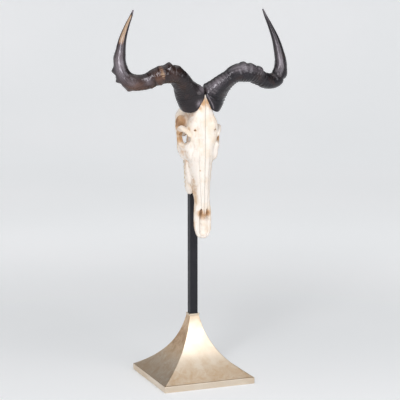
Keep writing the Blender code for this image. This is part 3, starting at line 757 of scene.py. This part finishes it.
def surface_of(field, low, step):
    """A mesh of quads on the field's zero level: one vertex in each cell that the surface crosses."""
    inside = field < 0
    corners = [tuple(slice(o, n - 1 + o) for o, n in zip(offset, field.shape))
               for offset in np.ndindex(2, 2, 2)]
    held = sum(inside[c].astype(np.int8) for c in corners)
    cells = np.argwhere((held > 0) & (held < 8))
    number = np.full(held.shape, -1, np.int64)
    number[tuple(cells.T)] = np.arange(len(cells))

    offsets = np.array(list(np.ndindex(2, 2, 2)))
    values = np.stack([field[tuple((cells + o).T)] for o in offsets])
    total, count = np.zeros((len(cells), 3)), np.zeros(len(cells))
    for a in range(8):
        for b in range(a + 1, 8):
            if np.abs(offsets[a] - offsets[b]).sum() != 1:
                continue
            crossed = (values[a] < 0) != (values[b] < 0)
            share = values[a][crossed] / (values[a][crossed] - values[b][crossed])
            total[crossed] += offsets[a] + share[:, None] * (offsets[b] - offsets[a])
            count[crossed] += 1
    verts = low + step * (cells + total / count[:, None])

    quads = []
    for axis in range(3):
        first = [slice(1, n - 1) for n in field.shape]
        second = list(first)
        first[axis], second[axis] = slice(0, -1), slice(1, None)
        here, there = inside[tuple(first)], inside[tuple(second)]
        edges = np.argwhere(here != there)
        leaving = here[tuple(edges.T)]
        edges[:, [k for k in range(3) if k != axis]] += 1
        u, v = np.eye(3, dtype=int)[(axis + 1) % 3], np.eye(3, dtype=int)[(axis + 2) % 3]
        ring = np.stack([number[tuple((edges - s).T)] for s in (u + v, v, 0 * u, u)], axis=1)
        ring[~leaving] = ring[~leaving][:, ::-1]
        quads.append(ring)
    return verts, np.concatenate(quads)


def box_blur(field, reach, passes=2):
    for _ in range(passes):
        for axis in range(3):
            padded = np.concatenate([np.zeros_like(np.take(field, [0], axis)), np.cumsum(field, axis)], axis)
            n = field.shape[axis]
            high = np.minimum(np.arange(n) + reach + 1, n)
            lows = np.maximum(np.arange(n) - reach, 0)
            field = (np.take(padded, high, axis) - np.take(padded, lows, axis)) / (2 * reach + 1)
    return field


# Stains on the bone, and near-black painted shadow (strength 2.6 and over) in the holes over the eyes, in a
# slit beside the nose on the right, and deep in the eye sockets: (out, forward, up, reach, strength, side),
# where side is -1 for the right only, 1 for the left only, and 0 for both.
STAINS_AND_SHADOWS = (
    (33.5, 109, 815, 2.9, 2.90, 0),
    (46, 86, 800, 13, 0.60, 1),
    (46, 82, 768, 14, 0.70, 1),
    (40, 84, 732, 12, 0.60, 1),
    (34, 84, 690, 13, 0.50, 1),
    (29, 84, 640, 13, 0.45, 1),
    (26, 86, 590, 12, 0.50, 1),
    (54, 60, 745, 13, 0.75, -1),
    (46, 58, 715, 11, 0.60, -1),
    (32, 100, 872, 12, 0.60, -1),
    (16.6, 108, 688, 3.6, 2.60, -1),
    (38, 54, 780, 8, 2.60, 0),
    (58, 20, 834, 26, 1.45, 0),
    (63, 48, 806, 17, 1.45, 0),
    (63, 46, 780, 16, 1.35, 0),
    (44, 16, 846, 18, 0.80, 0),
    (58, 66, 818, 10, 0.80, 0),
    (34, 104, 838, 12, 0.40, 0),
    (49, 82, 764, 10, 0.85, 0),
    (46, 80, 735, 13, 0.62, 0),
    (50, 55, 742, 11, 0.40, 0),
    (36, 46, 690, 11, 0.35, 0),
    (31, 28, 655, 12, 0.45, 0),
    (31, 28, 625, 12, 0.50, 0),
    (30, 28, 715, 12, 0.40, 0),
    (4, 100, 545, 12, 0.90, 0),
    (12, 96, 552, 12, 1.15, 0),
    (0, 86, 546, 16, 1.00, 0),
    (8, 110, 902, 15, 1.10, 0),
    (20, 106, 886, 11, 0.90, 0),
    (0, 100, 486, 10, 0.45, 0),
    (50, 40, 728, 10, 0.60, 0),
    (28, 92, 530, 10, 0.50, 1),
    (26, 92, 500, 12, 0.45, 1),
    (60, 72, 818, 9, 0.55, 1),
    (34, 92, 862, 9, 0.50, 0),
    (15, 106, 903, 9, 0.45, 0),
    (0, -45, 845, 30, 0.45, 0),
    (36, -32, 780, 16, 0.45, 0),
    (0, 30, 760, 22, 0.50, 0),
    (0, 85, 478, 10, 0.35, 0),
    (48, 88, 790, 7, 0.35, -1),
    (38, 100, 845, 10, 0.35, -1),
)


def stains_and_shadows_at(verts):
    total = np.zeros(len(verts))
    for out, forward, up, reach, strength, side in STAINS_AND_SHADOWS:
        for sign in ((-1, 1) if side == 0 else (side,)):
            away = verts / MM - (sign * out, -forward, up)
            total = np.maximum(total, strength * np.exp(-(away ** 2).sum(1) / (2 * (0.75 * reach) ** 2)))
    return total


def bone_relief(verts, normals):
    """How far the bone stands out from the plain shape: roughness, and the face's low ridges and grooves."""
    out, forward, up = np.abs(verts[:, 0]), -verts[:, 1], verts[:, 2]
    wavy = out + 0.0012 * value_noise(verts, 0.020, 3)
    front = smoothstep(0.30, 0.75, -normals[:, 1])
    relief = 0.00080 * layered_noise(verts, 0.018, 11) + 0.00040 * layered_noise(verts, 0.0070, 21)
    rough = smoothstep(0.02, -0.03, forward) + smoothstep(0.052, 0.060, out) + smoothstep(0.85, 0.90, up)
    relief += 0.00050 * np.clip(rough, 0, 1) * layered_noise(verts, 0.0055, 31)
    nasal = smoothstep(0.545, 0.600, up) * smoothstep(0.775, 0.735, up) * front
    edge = np.interp(up, (0.56, 0.74), (0.0105, 0.0175))
    raised = 0.0011 * smoothstep(edge + 0.001, edge - 0.004, wavy)
    relief += nasal * (raised - 0.0007 * bell(wavy, edge, 0.0016))
    relief -= nasal * 0.0004 * bell(wavy, 0.0, 0.0014)
    brow = front * smoothstep(0.755, 0.790, up) * smoothstep(0.880, 0.850, up)
    relief += brow * (0.0016 * bell(out, 0.029, 0.009) - 0.0012 * bell(out, 0.0, 0.007))
    run = front * smoothstep(0.760, 0.785, up) * smoothstep(0.818, 0.810, up)
    relief -= run * 0.0010 * bell(wavy, np.interp(up, (0.76, 0.815), (0.0275, 0.0340)), 0.0018)
    lip = front * smoothstep(0.560, 0.530, up)
    relief += lip * 0.0006 * value_noise(verts, 0.004, 41)
    return relief


def bell(values, centre, width):
    return np.exp(-((values - centre) / width) ** 2)


def make_skull(material):
    solid = skull_field()
    field, low = solid.whole()
    verts, quads = surface_of(field, low, SKULL_STEP)
    near = np.clip(np.rint((verts - low) / SKULL_STEP).astype(int), 0, np.array(field.shape) - 1)
    filled = (field < 0).astype(float)
    small = box_blur(filled, 3)[tuple(near.T)]
    large = box_blur(filled, 8)[tuple(near.T)]
    obj = mesh_object("skull_bone", verts, quads)
    normals = vertex_rows(obj, "normal")
    move_vertices(obj, verts + normals * bone_relief(verts, normals)[:, None])
    # Painted shade: bone that faces sideways is tinted tan in patches, and bone that faces back a little, as
    # shade; it is stored with the stains.
    cloudy = 0.35 + 0.65 * smoothstep(-0.35, 0.35, layered_noise(verts, 0.026, 51))
    sides = 0.60 * smoothstep(0.68, 0.98, np.abs(normals[:, 0])) * cloudy
    store(obj, "stain_and_shade", np.maximum(stains_and_shadows_at(verts), sides + 0.25 * smoothstep(-0.1, 0.8, normals[:, 1])))
    # Painted shade: how far each point is sunk among the bone around it, which the material paints tan, brown
    # and near-black as shade in the hollows.
    store(obj, "hollow", np.clip((small - 0.60) * 3.2, 0, 1) + np.clip((large - 0.60) * 4.5, 0, 1))
    smooth = obj.modifiers.new("even", "SMOOTH")
    smooth.factor, smooth.iterations = 0.5, 2
    finish_piece(obj, material, ["skull"])


# ---- Horns ----
def horn_frame(side):
    """At each ring: the centre, the directions along, outward and forward, the half width and half depth, and
    how far it is from the rim, as a length and as a share of the rings."""
    rows = smooth_rows(HORN_STATIONS, HORN_RINGS) * MM
    places = rows[:, :3] * (side, -1, 1)
    shares = np.linspace(0, 1, HORN_RINGS)
    along = unit(np.gradient(places, axis=0))
    if side > 0:
        past = np.clip((shares - DROOP_FROM) / (1 - DROOP_FROM), 0, 1)
        places[:, 2] -= LEFT_DROOP * np.sin(math.pi * past ** 0.7)
    lengths = np.concatenate([[0], np.cumsum(np.linalg.norm(np.diff(places, axis=0), axis=1))])
    forward, outward = np.zeros_like(places), np.zeros_like(places)
    ahead = np.array((0.0, -1.0, 0.0))
    for i, direction in enumerate(along):
        ahead = unit(ahead - direction * (ahead @ direction))
        forward[i] = ahead
        outward[i] = side * np.cross(direction, ahead)
    return places, along, outward, forward, rows[:, 3], rows[:, 4], lengths, shares


def angle_gap(degrees, centre):
    return (degrees - centre + 180) % 360 - 180


def horn_relief(side, length, share, turn, lumps, ridge_height, seed):
    """How far the surface stands out from the plain horn, and how deep it lies in a furrow from 0 to 1, which
    is painted dark as shade.
    """
    radians = np.radians(turn)
    around = np.stack([length, 0.030 * np.cos(radians), 0.030 * np.sin(radians)], -1).reshape(-1, 3)
    wander = layered_noise(around, 0.045, seed, 2).reshape(turn.shape)
    rough = layered_noise(around, 0.014, seed + 7, 3).reshape(turn.shape)
    fine = layered_noise(around * (3.0, 1, 1), 0.012, seed + 13, 3).reshape(turn.shape)
    uneven = value_noise(around * (1.0, 0.35, 0.35), 0.009, seed + 19).reshape(turn.shape)

    phase = length / RING_PITCH[side] + 0.8 * wander + 0.25 * np.cos(radians)
    past = phase - np.floor(phase)
    ring = 0.5 - 0.5 * np.cos(2 * math.pi * past ** 1.35)
    strong = np.clip(0.75 + 0.75 * uneven, 0.15, 1.4)
    edge = bell(angle_gap(turn, 352), 0, 52) + 0.30 * bell(angle_gap(turn, 95), 0, 55)
    edge = edge + 0.16 * bell(angle_gap(turn, 178), 0, 60) + 0.12
    ringed = smoothstep(0.035, 0.09, share) * smoothstep(0.62, 0.42, share)
    relief = ridge_height * ringed * edge * strong * (ring - 0.45)

    hoops = 0.5 + 0.5 * np.cos(2 * math.pi * (length / FURROW_LENGTH + 0.5 * wander))
    relief = relief + 0.00030 * hoops * smoothstep(0.20, 0.06, share)
    relief = relief + 0.0015 * wander * smoothstep(0.80, 0.55, share)
    relief = relief + 0.00120 * rough * smoothstep(0.88, 0.62, share) + 0.00020 * fine
    neck = smoothstep(0.05, 0.12, share) * smoothstep(0.36, 0.20, share)
    relief = relief + neck * (SECTION_TWIST * np.cos(np.radians(2 * (turn - TWIST_ANGLE))) - NECK_SLIMMING)
    furrow_shade = np.clip(1.1 * (0.30 - ring) * ringed * edge * strong, 0, 1)
    for station, centre, height, reach, spread in lumps:
        middle = np.interp(station / LAST_STATION, share[:, 0], length[:, 0])
        away = ((length - middle) / (MM * reach)) ** 2 * (1 + 0.35 * rough)
        lump = np.exp(-away - (angle_gap(turn, centre) / spread) ** 2)
        relief = relief + MM * height * lump
        if height < 0:
            furrow_shade = np.maximum(furrow_shade, 0.8 * lump)
    return relief, furrow_shade


def horn_rim_lift(degrees):
    """The rim on the skull isn't level: it climbs over the forehead's middle and dips at the temple."""
    inner_front = np.exp(-(angle_gap(degrees, 150) / 48) ** 2)
    front = np.exp(-(angle_gap(degrees, 70) / 50) ** 2)
    return 0.0100 * inner_front - 0.0050 * front


def make_horn(side, material, lumps, ridge_height, seed):
    name = "right" if side < 0 else "left"
    places, along, outward, forward, widths, depths, lengths, shares = horn_frame(side)
    length, turn = np.meshgrid(lengths, np.arange(HORN_SIDES) * 360 / HORN_SIDES, indexing="ij")
    share = np.repeat(shares[:, None], HORN_SIDES, axis=1)
    cosine, sine = np.cos(np.radians(turn)), np.sin(np.radians(turn))
    relief, furrow_shade = horn_relief(side, length, share, turn, lumps, ridge_height, seed)
    relief = relief * np.clip(widths / 0.012, 0, 1)[:, None]  # fades out toward the tip
    width = ((widths[:, None] + relief) * cosine)[..., None]
    depth = ((depths[:, None] + relief) * sine)[..., None]
    ring = outward[:, None] * width + forward[:, None] * depth
    rim_edge = 1 - 0.04 * np.exp(-length / 0.0022)  # rounds the rim's edge inward
    lift = horn_rim_lift(turn) * np.exp(-length / 0.030)
    points = places[:, None] + ring * rim_edge[..., None] + along[:, None] * lift[..., None]
    seat = points[0].mean(0) + along[0] * 0.006
    tip = points[-1].mean(0) + along[-1] * 0.0006
    verts = np.vstack([points.reshape(-1, 3), seat, tip])
    obj = mesh_object("horn_sheath_" + name, verts, ring_faces(HORN_RINGS, HORN_SIDES))
    fix_outside(obj)
    keep_middle_clear(obj, side)

    for label, values in zip(HORN_MARKS_AND_PAINTED_LIGHT, (*horn_patches(side, share, turn), furrow_shade)):
        store(obj, label, np.append(values, (0, 0)))
    grain = np.stack([length, 0.02 * cosine, 0.02 * sine], -1).reshape(-1, 3)
    store(obj, "grain_place", np.vstack([grain, grain[0], grain[-1]]))
    finish_piece(obj, material, ["horn_" + name])


def keep_middle_clear(obj, side):
    """The two bases meet on the middle plane, so each is pressed flat just short of it."""
    co = vertex_rows(obj, "co")
    own = co[:, 0] * side
    soft = PRESS_FROM - MIDDLE_GAP
    co[:, 0] = side * np.where(own < PRESS_FROM, MIDDLE_GAP + soft ** 2 / (soft + (PRESS_FROM - own)), own)
    move_vertices(obj, co)


def horn_patches(side, share, turn):
    """Where the horn has turned brown and amber, and where highlights and a paler tip are painted in pale
    lilac, each from 0 to 1.
    """
    station = share * LAST_STATION

    def wear_and_painted_light(*patches):
        """The strongest of the (strength, station, degrees round, reach along, reach round) patches."""
        most = 0 * share
        for strength, where, centre, along, spread in patches:
            away = ((station - where) / along) ** 2 + (angle_gap(turn, centre) / spread) ** 2
            most = np.maximum(most, strength * np.exp(-away))
        return most

    if side > 0:
        brown = wear_and_painted_light((0.30, 8.0, 100, 1.2, 70)) + wear_and_painted_light((0.25, 3.0, 60, 1.0, 50))
        tip = 0.55 * smoothstep(0.86, 0.99, share) * np.exp(-(angle_gap(turn, 90) / 80) ** 2)
        # Painted highlights: pale lilac down the horn's front where the lamps' highlights fall; rim below is
        # a painted highlight along a crease by the rim.
        grey = wear_and_painted_light((0.95, 13.1, 158, 1.7, 27), (0.72, 6.4, 144, 1.4, 22), (0.60, 8.1, 148, 0.6, 18),
                    (0.72, 3.3, 138, 1.3, 20))
        line = station - 0.2 - (turn - 85) * 0.0283  # runs slanting along the rim
        rim = 0.75 * np.exp(-(line / 0.11) ** 2) * smoothstep(80, 92, turn) * smoothstep(140, 128, turn)
        return brown, 0 * share, np.maximum(np.maximum(tip, grey), rim)
    brown = wear_and_painted_light((0.85, 10.0, 75, 1.7, 85)) + wear_and_painted_light((0.80, 7.7, 100, 0.7, 90))
    faint = wear_and_painted_light((0.60, 6.4, 110, 1.0, 80), (0.35, 4.2, 60, 1.4, 60), (0.35, 13.6, 95, 1.2, 60))
    strip = np.exp(-(angle_gap(turn, 102) / 37) ** 4) * smoothstep(0.790, 0.830, share)
    strip = 0.95 * strip * smoothstep(0.972, 0.930, share)
    # Painted highlights: pale lilac on the horn's front, at its base and along its bend, where the lamps'
    # highlights fall.
    grey = wear_and_painted_light((0.95, 12.9, 102, 1.6, 40), (0.70, 2.2, 146, 0.40, 20), (0.85, 0.80, 107, 0.45, 13),
                (0.45, 10.7, 112, 0.7, 26), (0.60, 8.9, 116, 0.35, 22))
    tip = 0.8 * smoothstep(0.955, 0.985, share)
    amber = np.maximum(strip, wear_and_painted_light((0.62, 7.30, 128, 0.26, 50)))
    return np.maximum(brown, faint), amber, np.maximum(tip, grey)


# ---- Teeth ----
def tooth_outline(angles, half_out, half_along, lobes, side):
    """A cheek tooth's section: flattish lobes with a fold between them, and three ribs on the cheek side."""
    across, along = np.cos(angles), np.sin(angles)
    x = np.sign(across) * np.abs(across) ** 0.50 * half_out
    z = np.sign(along) * np.abs(along) ** 0.42 * half_along
    cheek = np.clip(side * across, 0, 1)
    tongue = np.clip(-side * across, 0, 1)
    fold = np.exp(-(z / (0.20 * half_along)) ** 2) if lobes == 2 else 0 * z
    ribs = sum(np.exp(-((z / half_along - c) / 0.13) ** 2) for c in (-0.86, 0.0, 0.86))
    x = x * (1 - 0.20 * fold * tongue) + side * 0.0008 * ribs * cheek
    return x, z


def make_tooth(name, lobes, side, material):
    """Ribbed walls from the root to the chewing face, whose enamel stands as edges round the soft middles."""
    low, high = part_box(name)
    middle = (low + high) / 2
    half_out, half_along = (high.x - low.x) / 2 * 0.96, (high.z - low.z) / 2 * 0.985
    angles = 2 * math.pi * np.arange(TOOTH_SIDES) / TOOTH_SIDES
    x, z = tooth_outline(angles, half_out, half_along, lobes, side)
    root, edge = low.y, high.y
    rings, groove = [], []
    for share in np.linspace(0, 1, 9):
        swell = 0.88 + 0.12 * math.sin(math.pi * min(1, share * 1.15) / 2)
        rings.append(np.stack([middle.x + x * swell, np.full_like(x, root + (edge - 0.0008 - root) * share),
                               middle.z + z * swell], 1))
        groove.append(0.55 * (1 - share) + 0 * x)
    for shrink, drop in WORN_FACE:
        slant = 0.0006 * np.sin(3 * z * shrink / half_along)
        across = middle.x + x * shrink ** 1.1
        rings.append(np.stack([across, edge - drop - 0.0006 + slant, middle.z + z * shrink], 1))
        groove.append(np.full_like(x, min(1.0, drop / 0.0016)))
    verts = np.vstack(rings + [[middle.x, root, middle.z]] + [[middle.x, edge - 0.0032, middle.z]])
    obj = mesh_object(name + "_crown", verts, ring_faces(len(rings), TOOTH_SIDES))
    fix_outside(obj)
    fold = np.exp(-(z / (0.25 * half_along)) ** 2) * np.clip(-side * np.cos(angles), 0, 1) * (lobes == 2)
    shaded = [row + 0.5 * fold for row in groove]
    store(obj, "groove", np.append(np.concatenate(shaded), (0.6, 1.0)))
    finish_piece(obj, material, [name])


def make_teeth(material):
    for side, side_name in ((-1, "right"), (1, "left")):
        for name in TOOTH_NAMES:
            make_tooth(f"{name}_{side_name}", 2 if name.startswith("molar") else 1, side, material)


# ---- Stand ----
FLARE_FALL = 2.1  # how fast the flare's width falls away with height
FLARE_LEVELS, FACE_STEPS, CORNER_STEPS = 90, 40, 4
EDGE_ROUND, HOLE_ROUND = 0.0012, 0.0004
HOLE_ROOM = 0.0003  # between the post and what it stands in


def square_ring(half, rounding):
    """Points round a square with rounded corners, as (x, y) rows."""
    rounding = min(rounding, half * 0.9)
    inner = half - rounding
    angles = np.linspace(0, math.pi / 2, CORNER_STEPS + 1)
    corner = inner + rounding * np.column_stack([np.cos(angles), np.sin(angles)])
    edge = np.linspace((inner, half), (-inner, half), FACE_STEPS + 1)[1:-1]
    quarters = [np.vstack([corner, edge])]
    for _ in range(3):
        quarters.append(quarters[-1] @ ((0, 1), (-1, 0)))
    return np.vstack(quarters)


def square_loft(name, levels, closed=False):
    """A solid through square rings, each (half side, height, corner rounding). closed joins up its ends."""
    rings = [np.insert(square_ring(half, rounding), 2, up, axis=1) for half, up, rounding in levels]
    ends = [] if closed else [[[0, 0, levels[0][1]]], [[0, 0, levels[-1][1]]]]
    obj = mesh_object(name, np.vstack(rings + ends), ring_faces(len(rings), len(rings[0]), closed))
    fix_outside(obj)
    return obj


def uneven(obj, height, size, seed):
    """Hand-finished metal isn't quite true: moves the surface in and out a little."""
    co = vertex_rows(obj, "co")
    move_vertices(obj, co + vertex_rows(obj, "normal") * (height * layered_noise(co, size, seed, 2))[:, None])


def flare_half(share, bottom_half, top_half):
    fall = (math.exp(-FLARE_FALL * share) - math.exp(-FLARE_FALL)) / (1 - math.exp(-FLARE_FALL))
    return top_half + (bottom_half - top_half) * fall


def flare_shade(obj):
    """How much painted shade browns the leaf: most on the flare's left face and under the collar, some toward
    its foot.
    """
    facing = smoothstep(0.35, 0.80, -vertex_rows(obj, "normal")[:, 0])
    height = (vertex_rows(obj, "co")[:, 2] - FLARE_LOW.z) / (FLARE_HIGH.z - FLARE_LOW.z)
    upper = facing * (0.15 + 0.75 * bell(height, 0.62, 0.32)) + 0.40 * smoothstep(0.82, 1.0, height)
    return upper + (0.42 - 0.15 * facing) * smoothstep(0.42, 0.05, height)


def make_flare(material):
    low, high = FLARE_LOW.z, FLARE_HIGH.z
    bottom_half, top_half = FLARE_HIGH.x, COLLAR_HIGH.x - 0.0012
    levels = [(bottom_half - 0.0012, low, EDGE_ROUND)]
    for k in range(FLARE_LEVELS + 1):
        share = k / FLARE_LEVELS
        up = low + 0.0006 + (high - low - 0.0006) * share
        levels.append((flare_half(share, bottom_half, top_half), up, EDGE_ROUND))
    socket = POST_HIGH.x + HOLE_ROOM
    levels.append((top_half - 0.0010, high, EDGE_ROUND))
    levels += [(socket, high, HOLE_ROUND), (socket, POST_LOW.z, HOLE_ROUND)]
    obj = square_loft("flare_shell", levels)
    uneven(obj, 0.00022, 0.045, 5)
    store(obj, "leaf_shade", flare_shade(obj))
    obj.data.set_sharp_from_angle(angle=math.radians(28))
    finish_piece(obj, material, ["base_flare"])


def rounded_slab(name, half, low, high, rounding, hole=None):
    """A square slab with softened edges, with a square hole through it if hole is its half side."""
    turns = [(rounding * (1 - math.cos(a)), rounding * math.sin(a)) for a in np.linspace(0, math.pi / 2, 5)]
    levels = [(half - rounding + rise, low + inset, EDGE_ROUND) for inset, rise in turns]
    levels += [(half - inset, high - rounding + rise, EDGE_ROUND) for inset, rise in turns]
    if hole is None:
        return square_loft(name, levels)
    return square_loft(name, [(hole, low, HOLE_ROUND), *levels, (hole, high, HOLE_ROUND)], closed=True)


def make_plinth(material):
    obj = rounded_slab("plinth_slab", PLINTH_HIGH.x, PLINTH_LOW.z, PLINTH_HIGH.z, 0.0014)
    uneven(obj, 0.00010, 0.030, 9)
    # Painted light: a plinth value below 0 keeps its leaf paler than the flare's, as if lit.
    store(obj, "leaf_shade", np.full(len(obj.data.vertices), -0.25))
    obj.data.set_sharp_from_angle(angle=math.radians(40))
    finish_piece(obj, material, ["base_plinth"])


def make_collar(material):
    hole = POST_HIGH.x + HOLE_ROOM
    obj = rounded_slab("collar_ring", COLLAR_HIGH.x, COLLAR_LOW.z, COLLAR_HIGH.z, 0.0009, hole)
    obj.data.set_sharp_from_angle(angle=math.radians(40))
    finish_piece(obj, material, ["base_collar"])


def finish_carried(names, material):
    for name in names:
        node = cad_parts[name]
        node.data.materials.clear()
        node.data.materials.append(material)


# ---- Studio ----
def make_camera():
    data = bpy.data.cameras.new("camera")
    data.angle = CAMERA_ANGLE
    data.clip_end = 60
    camera = in_scene("camera", data)
    camera.location = CAMERA_PLACE
    camera.rotation_euler = (math.pi / 2 - CAMERA_PITCH, 0, -CAMERA_YAW)
    bpy.context.scene.camera = camera


def backdrop_material():
    shader = Shader("studio_paper")
    coords = shader.place()
    soft = shader.noise(coords, 0.7, 2.0, 0.5)
    fine = shader.noise(coords, 220.0, 2.0, 0.5)
    away = shader.add("VectorMath", "Value", {0: coords}, operation="LENGTH")
    _, y, z = shader.parts(coords)
    # Painted light: the paper glows by itself, less near the stand, higher up and toward the camera.
    glow = shader.spread(away, 0.4, 2.9, PAPER_GLOW_NEAR, PAPER_GLOW_FAR)
    glow = glow * shader.spread(z, 0.5, 3.4, 1.0, 0.70) * shader.spread(y, -4.5, 0.5, 0.55, 1.0)
    colour = shader.layers((0.680, 0.690, 0.700), (soft, 0.3, 0.7, 1.0, (0.700, 0.705, 0.715)))
    return shader.finish(base_color=colour, roughness=0.85, specular_ior_level=0.1, emission_color=colour,
                         emission_strength=glow, normal=shader.bump(fine, 0.0002, 0.2))


def make_studio():
    """A round paper bowl: a level floor that curves up into a wall all the way round, beyond the camera."""
    floor, curve, wall, sides = 5.6, 2.4, 3.4, 96
    profile = [(0.6, 0), (1.6, 0), (3.0, 0), (floor, 0)]
    bend = np.linspace(0.1, math.pi / 2, 14)
    profile += [(floor + curve * math.sin(a), curve * (1 - math.cos(a))) for a in bend]
    profile.append((floor + curve, wall))
    angles = 2 * math.pi * np.arange(sides) / sides
    circle = np.column_stack([np.cos(angles), np.sin(angles)])
    rings = [np.insert(radius * circle, 2, up, axis=1) for radius, up in profile]
    faces = [face for face in ring_faces(len(rings), sides) if len(rings) * sides + 1 not in face]
    verts = np.vstack(rings + [[[0, 0, 0]], [[0, 0, wall]]])
    bowl = mesh_object("studio_bowl", verts, faces)
    bowl.data.materials.append(backdrop_material())


def soft_light(name, place, target, size, power):
    data = bpy.data.lights.new(name, "AREA")
    data.shape = "RECTANGLE"
    data.size, data.size_y = size
    data.energy = power
    light = in_scene(name, data)
    light.visible_camera = False
    light.location = place
    light.rotation_euler = (Vector(target) - Vector(place)).to_track_quat("-Z", "Y").to_euler()


def make_lights():
    soft_light("key", (0.95, -2.35, 1.95), (0, 0, 0.55), (1.4, 2.8), 32)
    soft_light("strip", (-1.30, -1.75, 1.85), (0, 0, 1.0), (0.60, 1.8), 36)
    soft_light("overhead", (0.0, 0.2, 2.9), (0, 0, 0.2), (3.0, 3.0), 28)
    world = bpy.data.worlds.new("studio_air")
    bpy.context.scene.world = world
    world.use_nodes = True
    background = world.node_tree.nodes["Background"].inputs
    background["Color"].default_value = (0.93, 0.96, 1.0, 1)
    background["Strength"].default_value = 0.12
    bpy.context.scene.view_settings.view_transform = "Standard"


# ---- Everything ----
def main():
    make_camera()
    make_studio()
    make_lights()
    leaf = leaf_metal_material()
    make_plinth(leaf)
    make_flare(leaf)
    make_collar(leaf)
    finish_carried(["post", "mounting_plate"], black_metal_material())
    finish_carried(["plate_screw_right", "plate_screw_left"], screw_steel_material())
    make_skull(bone_material())
    make_horn(-1, horn_material("horn_umber", HORN_SEPIA), RIGHT_LUMPS, 0.0012, 31)
    make_horn(1, horn_material("horn_black", HORN_BLACK), LEFT_LUMPS, 0.0026, 57)
    make_teeth(tooth_material())


main()
